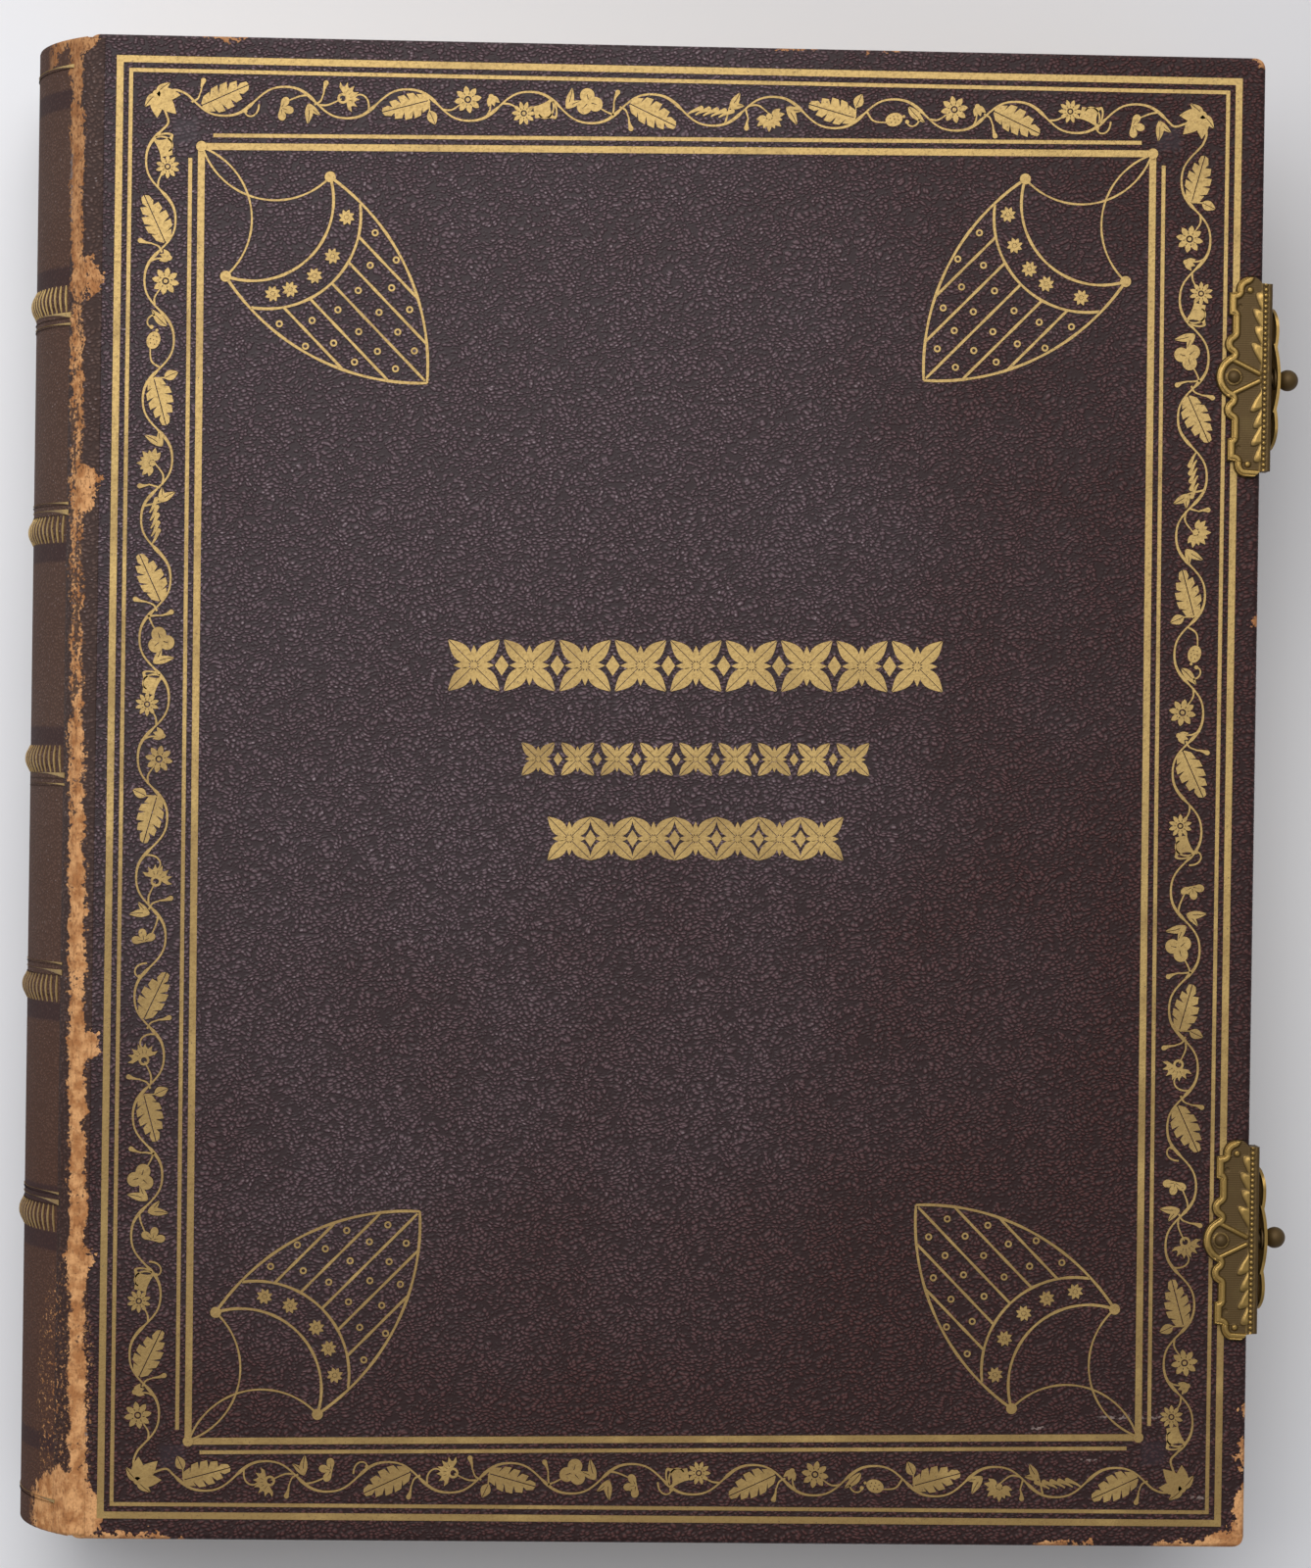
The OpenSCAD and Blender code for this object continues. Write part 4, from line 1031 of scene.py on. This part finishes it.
def spine_gilding():
    """Gilt lines beside the bands and gilt strokes over them, round the spine's arc."""
    mesh = Mesh()
    half = SPINE_HALF - 4.2
    bands = band_places()
    lines = [(spine_high.y - 5.6, 0.7), (spine_low.y + 6.5, 0.7)]
    for up, side in zip(bands, (-1, 1, -1, 1, 1)):
        lines += [(up + side * 3.3, 1.1), (up + side * 5.1, 0.5)]
    for up, width in lines:
        points = [complex(a, up) for a in np.linspace(-half, half, 40)]
        mesh.prism(ribbon(points, width), -0.1, 0.18, spine_point)
    stroke_pitch, stroke_half = 1.95, 2.7
    for up in bands:
        def wrap(along, y, out):
            return spine_point(along, y, out + band_height(along, y - up))
        for i in range(-14, 15):
            along = i * stroke_pitch
            if abs(along) > half:
                continue
            lean = random.uniform(-0.25, 0.25)
            points = [complex(along + lean * s, up + stroke_half * s)
                      for s in np.linspace(-1, 1, 9)]
            stroke = ribbon(points, lambda s: 0.2 + 0.28 * math.sin(math.pi * s))
            mesh.prism(stroke, -0.1, 0.12, wrap)
    return mesh


# ---- clasps ----

# A stamped plate: how high its ground and its rim stand over the cover, how far it reaches
# from its middle, and the flange that it folds into down the board's edge.
PLATE_FLOOR = 0.55
PLATE_TOP = 1.2
PLATE_HALF = 20.3
FLANGE_T = 2.0
FLANGE_HALF = 18.9
FOLD_TOP = 0.74
FOLD_R = 0.75
COVER_T = cover_high.z - cover_low.z
# The scroll at each end of a plate, from the board's edge and the plate's middle.
SCROLL = -2.7 + 17.5j
SCROLL_R = 2.8


def plate_left(y):
    """How far in over the cover the plate's outline reaches at y, from the board's edge."""
    far = abs(y)
    reach = [-6.2 if far < 17.0 else -0.2]
    for middle, radius in ((-4.4 + 0j, 4.9), (-5.3 + 6.6j, 2.3), (SCROLL, SCROLL_R)):
        if abs(far - middle.imag) < radius:
            reach.append(middle.real - math.sqrt(radius ** 2 - (far - middle.imag) ** 2))
    if 12.3 < far < 17.0:
        reach.append(-6.9)
    return min(reach)


def plate_right(y):
    """How far out past the board's edge the plate's outline reaches at y."""
    far = abs(y)
    if far < FLANGE_HALF:
        return FLANGE_T
    return SCROLL.real + math.sqrt(max(0.0, SCROLL_R ** 2 - (far - SCROLL.imag) ** 2))


def away_from(points, start, end):
    """Distance from points to a segment, as an array."""
    way = end - start
    share = np.clip(((points - start) * np.conj(way)).real / abs(way) ** 2, 0, 1)
    return abs(points - start - share * way)


def soft_step(value, low, high):
    t = np.clip((value - low) / (high - low), 0, 1)
    return t * t * (3 - 2 * t)


def plate_relief(x, y, rim_distance):
    """Height of the stamped relief: rim, fan ribs, leafy fins, scrolls and a beaded edge."""
    far = abs(y)
    place = x + 1j * far
    rim = soft_step(rim_distance, 0.02, 0.25) * (1 - soft_step(rim_distance, 1.3, 1.75))
    groove = 1 - soft_step(abs(rim_distance - 0.5), 0.06, 0.2)
    rib = away_from(place, -6.6 + 3.7j, -0.6 + 0.75j)
    raised = [0.03 * np.sin(2 * np.pi * y / 0.45),
              (PLATE_TOP - PLATE_FLOOR) * rim * (1 - 0.35 * groove),
              0.6 * (1 - soft_step(rib, 0.2, 0.66)),
              0.5 * (1 - soft_step(abs(place - SCROLL), 0.3, 0.85))]
    for start, fin in ((2.3, 2.3), (6.0, 1.7), (9.3, 2.1), (12.9, 1.5)):
        share = np.clip((far + 0.8 * (x + 0.2) - start) / 4.1, 0, 1)
        inside = fin * np.sin(np.pi * share ** 1.5) ** 0.7 + 0.2 + x
        dome = 0.34 * soft_step(inside, 0.0, 0.35) + 0.2 * soft_step(inside, 0.4, 1.3)
        shown = (share > 0) & (share < 1) & (x < 0.1)
        raised.append(np.where(shown, 0.85 * dome, 0))
    z = (PLATE_FLOOR + 0.2) * soft_step(x, -0.7, -0.4)
    for height in raised:
        z = np.maximum(z, PLATE_FLOOR + height)
    pit = abs(place - (-4.6 + 14.2j))
    z = np.where(pit < 0.8, np.minimum(z, 0.35 + 0.6 * soft_step(pit, 0.3, 0.75)), z)
    z = np.where(abs(place + 5.7) < 1.7, 0.8, z)
    bead_pitch = 1.1
    bead = np.hypot(x - 0.54, (y + bead_pitch / 2) % bead_pitch - bead_pitch / 2)
    ball = np.sqrt(np.clip(1 - (bead / 0.46) ** 2, 0, 1))
    z = np.where(x > 0, 0.62 + 0.42 * ball, z)
    return np.where(x > 1.1, FOLD_TOP, z)


def catch_plate(side_y):
    """A stamped brass plate that laps over the cover and down its fore-edge. Every ring of
    the solid runs over its top, round the fold, down the flange and back underneath."""
    y = np.linspace(-PLATE_HALF, PLATE_HALF, 380)[:, None]
    left, right = np.vectorize(plate_left)(y), np.vectorize(plate_right)(y)
    over_cover = left + (np.minimum(right, 0) - left) * np.linspace(0, 1, 52)
    x_top = np.hstack([over_cover, np.minimum(right, np.linspace(0.06, 1.14, 13))])
    outline = (left + 1j * y).ravel()
    rim = np.full(x_top.shape, 99.0)
    for a, b in zip(outline[:-1:2], outline[2::2]):
        rim = np.minimum(rim, away_from(x_top + 1j * y, a, b))
    end = np.clip((PLATE_HALF - abs(y)) / 0.35, 0, 1)
    lift = np.minimum(soft_step(rim, -0.05, 0.2) * 0.75 + 0.25, 1) * (0.3 + 0.7 * end)
    z_top = plate_relief(x_top, y, rim) * np.where(x_top < 0, lift, 1)
    flange = abs(y) < FLANGE_HALF
    turns = np.radians([90, 65, 40, 18, 0])
    x_fold = np.where(flange, right - FOLD_R + FOLD_R * np.cos(turns), right)
    z_fold = np.where(flange, FOLD_TOP - FOLD_R + FOLD_R * np.sin(turns), 0.3)
    x_low = np.where(flange, [FLANGE_T, 0.02, 0.02], right)
    z_low = np.where(flange, [-COVER_T, -COVER_T, 0.0], 0.0)
    x = np.hstack([x_top, x_fold, x_low, left])
    z = np.hstack([z_top, z_fold, z_low, 0 * left])
    rings = np.stack([cover_high.x + x, side_y + y + 0 * x, TOP_Z + z], axis=-1)
    mesh = Mesh()
    mesh.tube(rings.tolist())
    return mesh


# ---- the leather over the joints ----

def joint_leather(front):
    """The skin over a joint, from the spine's shoulder to a little way over the cover."""
    rows, columns = 420, 30
    sign = 1 if front else -1
    start, end = -4.8, 3.4
    phases = [random.uniform(0, 6.28) for _ in range(8)]

    def skin(x, y, lift):
        """A point of the skin: round the spine's arc up to the joint, and flat beyond it."""
        if x < 0:
            return spine_point(sign * (SPINE_HALF + x), y, lift)
        return JOINT_X + x, y, TOP_Z / 2 + sign * (TOP_Z / 2 + lift)

    rings = []
    for i in range(rows):
        y = spine_low.y + 0.3 + (spine_high.y - spine_low.y - 0.6) * i / (rows - 1)
        under, over = [], []
        for j in range(columns):
            share = j / (columns - 1)
            x = start + (end - start) * share
            ridges = sum(math.sin(y / (2.6 + 1.9 * k) + phase + (2.2 + 0.7 * k) * x)
                         for k, phase in enumerate(phases)) / 8
            edge = min(1.0, min(share, 1 - share) * 7)
            under.append(skin(x, y, -0.03))
            over.append(skin(x, y, 0.02 + edge * (0.1 + 0.09 * ridges)))
        loop = over + under[::-1]
        rings.append(loop if front else loop[::-1])
    mesh = Mesh()
    mesh.tube(rings)
    return mesh


# ---- putting it together ----

def paint_node(node, material):
    slots = frame["nodes"][node].data.materials
    slots.clear()
    slots.append(material)


gold = gold_leaf("gold_leaf", (184, 154, 94), (146, 119, 70), dull=0.0, metal=0.5)
spine_gold = gold_leaf("spine_gold", (196, 164, 100), (140, 112, 66), dull=0.02, metal=0.25)
plate_brass = aged_brass("plate_brass", TOP_Z + PLATE_FLOOR, TOP_Z + PLATE_TOP - 0.1)
hasp_brass = aged_brass("hasp_brass", 10, TOP_Z + 6, dark_share=0.05)
dark_brass = aged_brass("dark_brass", 40, TOP_Z + 30, dark_share=0.3)

paint_node("front_leather", leather("cover_morocco", (74, 45, 43), (96, 79, 84), rubbed,
                                    panel_corner_marks))
paint_node("back_leather", leather("back_morocco", (72, 46, 44), (88, 70, 72), back_rubbed))
paint_node("spine_leather", leather("spine_morocco", (90, 64, 53), (96, 74, 64), rubbed,
                                    spine_pressing, grain_size=0.7, relief=0.12, valley_shade=0.35,
                                    sheen=0.05, least_rough=0.66))
paint_node("page_block", leaf_edges("leaves"))
for node in ("head_band", "tail_band"):
    paint_node(node, wound_silk(node + "_silk"))
for node in ("front_pastedown", "back_pastedown"):
    paint_node(node, endpaper(node + "_paper"))
for node in ("front_board", "back_board"):
    paint_node(node, pressed_board(node + "_card", (150, 130, 98), (118, 100, 74)))
paint_node("spine_tube", pressed_board("spine_paper", (158, 130, 92), (128, 102, 70)))
paint_node("front_gilt_fillets", gold)
for name in ("upper", "lower"):
    for part in ("catch_rivet", "catch_stud", "hasp_keeper", "hinge_pin", "hinge_rivet"):
        paint_node(f"{name}_{part}", dark_brass)
    for part in ("hasp", "hinge_plate"):
        paint_node(f"{name}_{part}", hasp_brass)

for name, tooling in (("vine", gilt_vine), ("shields", gilt_shields), ("rows", gilt_rows)):
    tooling().piece(f"gilt_{name}", "front_cover", "gilding", gold, [f"front_gilt_{name}"])
spine_gilding().piece("spine_tooling", "book_block", "gilding", spine_gold, ["spine_gilding"])
for name, side_y in CLASP_Y.items():
    catch_plate(side_y).piece(f"{name}_stamped_plate", "front_cover", "clasp_brass", plate_brass,
                              [f"{name}_catch_plate"], smooth=True)
    paint_node(f"{name}_hasp_knob", dark_brass)

for front, cover in ((True, "front_cover"), (False, "back_cover")):
    material = leather(cover + "_joint_morocco", (74, 52, 45), (86, 68, 62),
                       rubbed if front else back_rubbed, relief=0.14, valley_shade=0.55,
                       sheen=0.12, least_rough=0.55)
    strip = joint_leather(front).piece(cover + "_joint", None, "spine_morocco", material,
                                       smooth=True)
    (JOINT_X - 1) * MM
    (JOINT_X + 1) * MM
    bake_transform(strip)


# ---- floor, light and camera ----

FLOOR_Z = -0.45
FLOOR_REACH = 4000


def area_light(name, place, target, size, power, color):
    lamp = bpy.data.lights.new(name, "AREA")
    lamp.shape = "RECTANGLE"
    lamp.size, lamp.size_y = size
    lamp.energy = power
    lamp.color = color
    thing = new_object(name, lamp)
    thing.location = place
    thing.rotation_euler = (Vector(target) - Vector(place)).to_track_quat("-Z", "Y").to_euler()


def studio():
    floor = Mesh()
    floor.add([(FLOOR_REACH * x, FLOOR_REACH * y, FLOOR_Z)
               for x, y in ((-1, -1), (1, -1), (1, 1), (-1, 1))], [(0, 1, 2, 3)])
    floor.piece("floor", None, None, studio_floor("floor_paint"))
    world = bpy.data.worlds.new("studio")
    bpy.context.scene.world = world
    world.use_nodes = True
    sky = world.node_tree.nodes["Background"].inputs
    sky["Color"].default_value = srgb(236, 238, 244)
    sky["Strength"].default_value = 0.41
    area_light("key", (-0.15, 1.15, 1.1), (0, 0.05, 0.03), (1.5, 0.7), 8, (1, 0.99, 0.985))
    area_light("fill", (-0.32, 0.6, 1.45), (0, 0.02, 0), (1.6, 1.0), 19, (0.99, 0.99, 1))


def camera():
    lens = bpy.data.cameras.new("camera")
    lens.lens = 103.3
    lens.sensor_width = 36
    thing = new_object("camera", lens)
    thing.location = (-0.037955, 0.007, 0.956)
    thing.rotation_euler = [math.radians(a) for a in (-0.34, -2.37, 0.83)]
    bpy.context.scene.camera = thing


studio()
camera()
bpy.context.scene.view_settings.view_transform = "Standard"
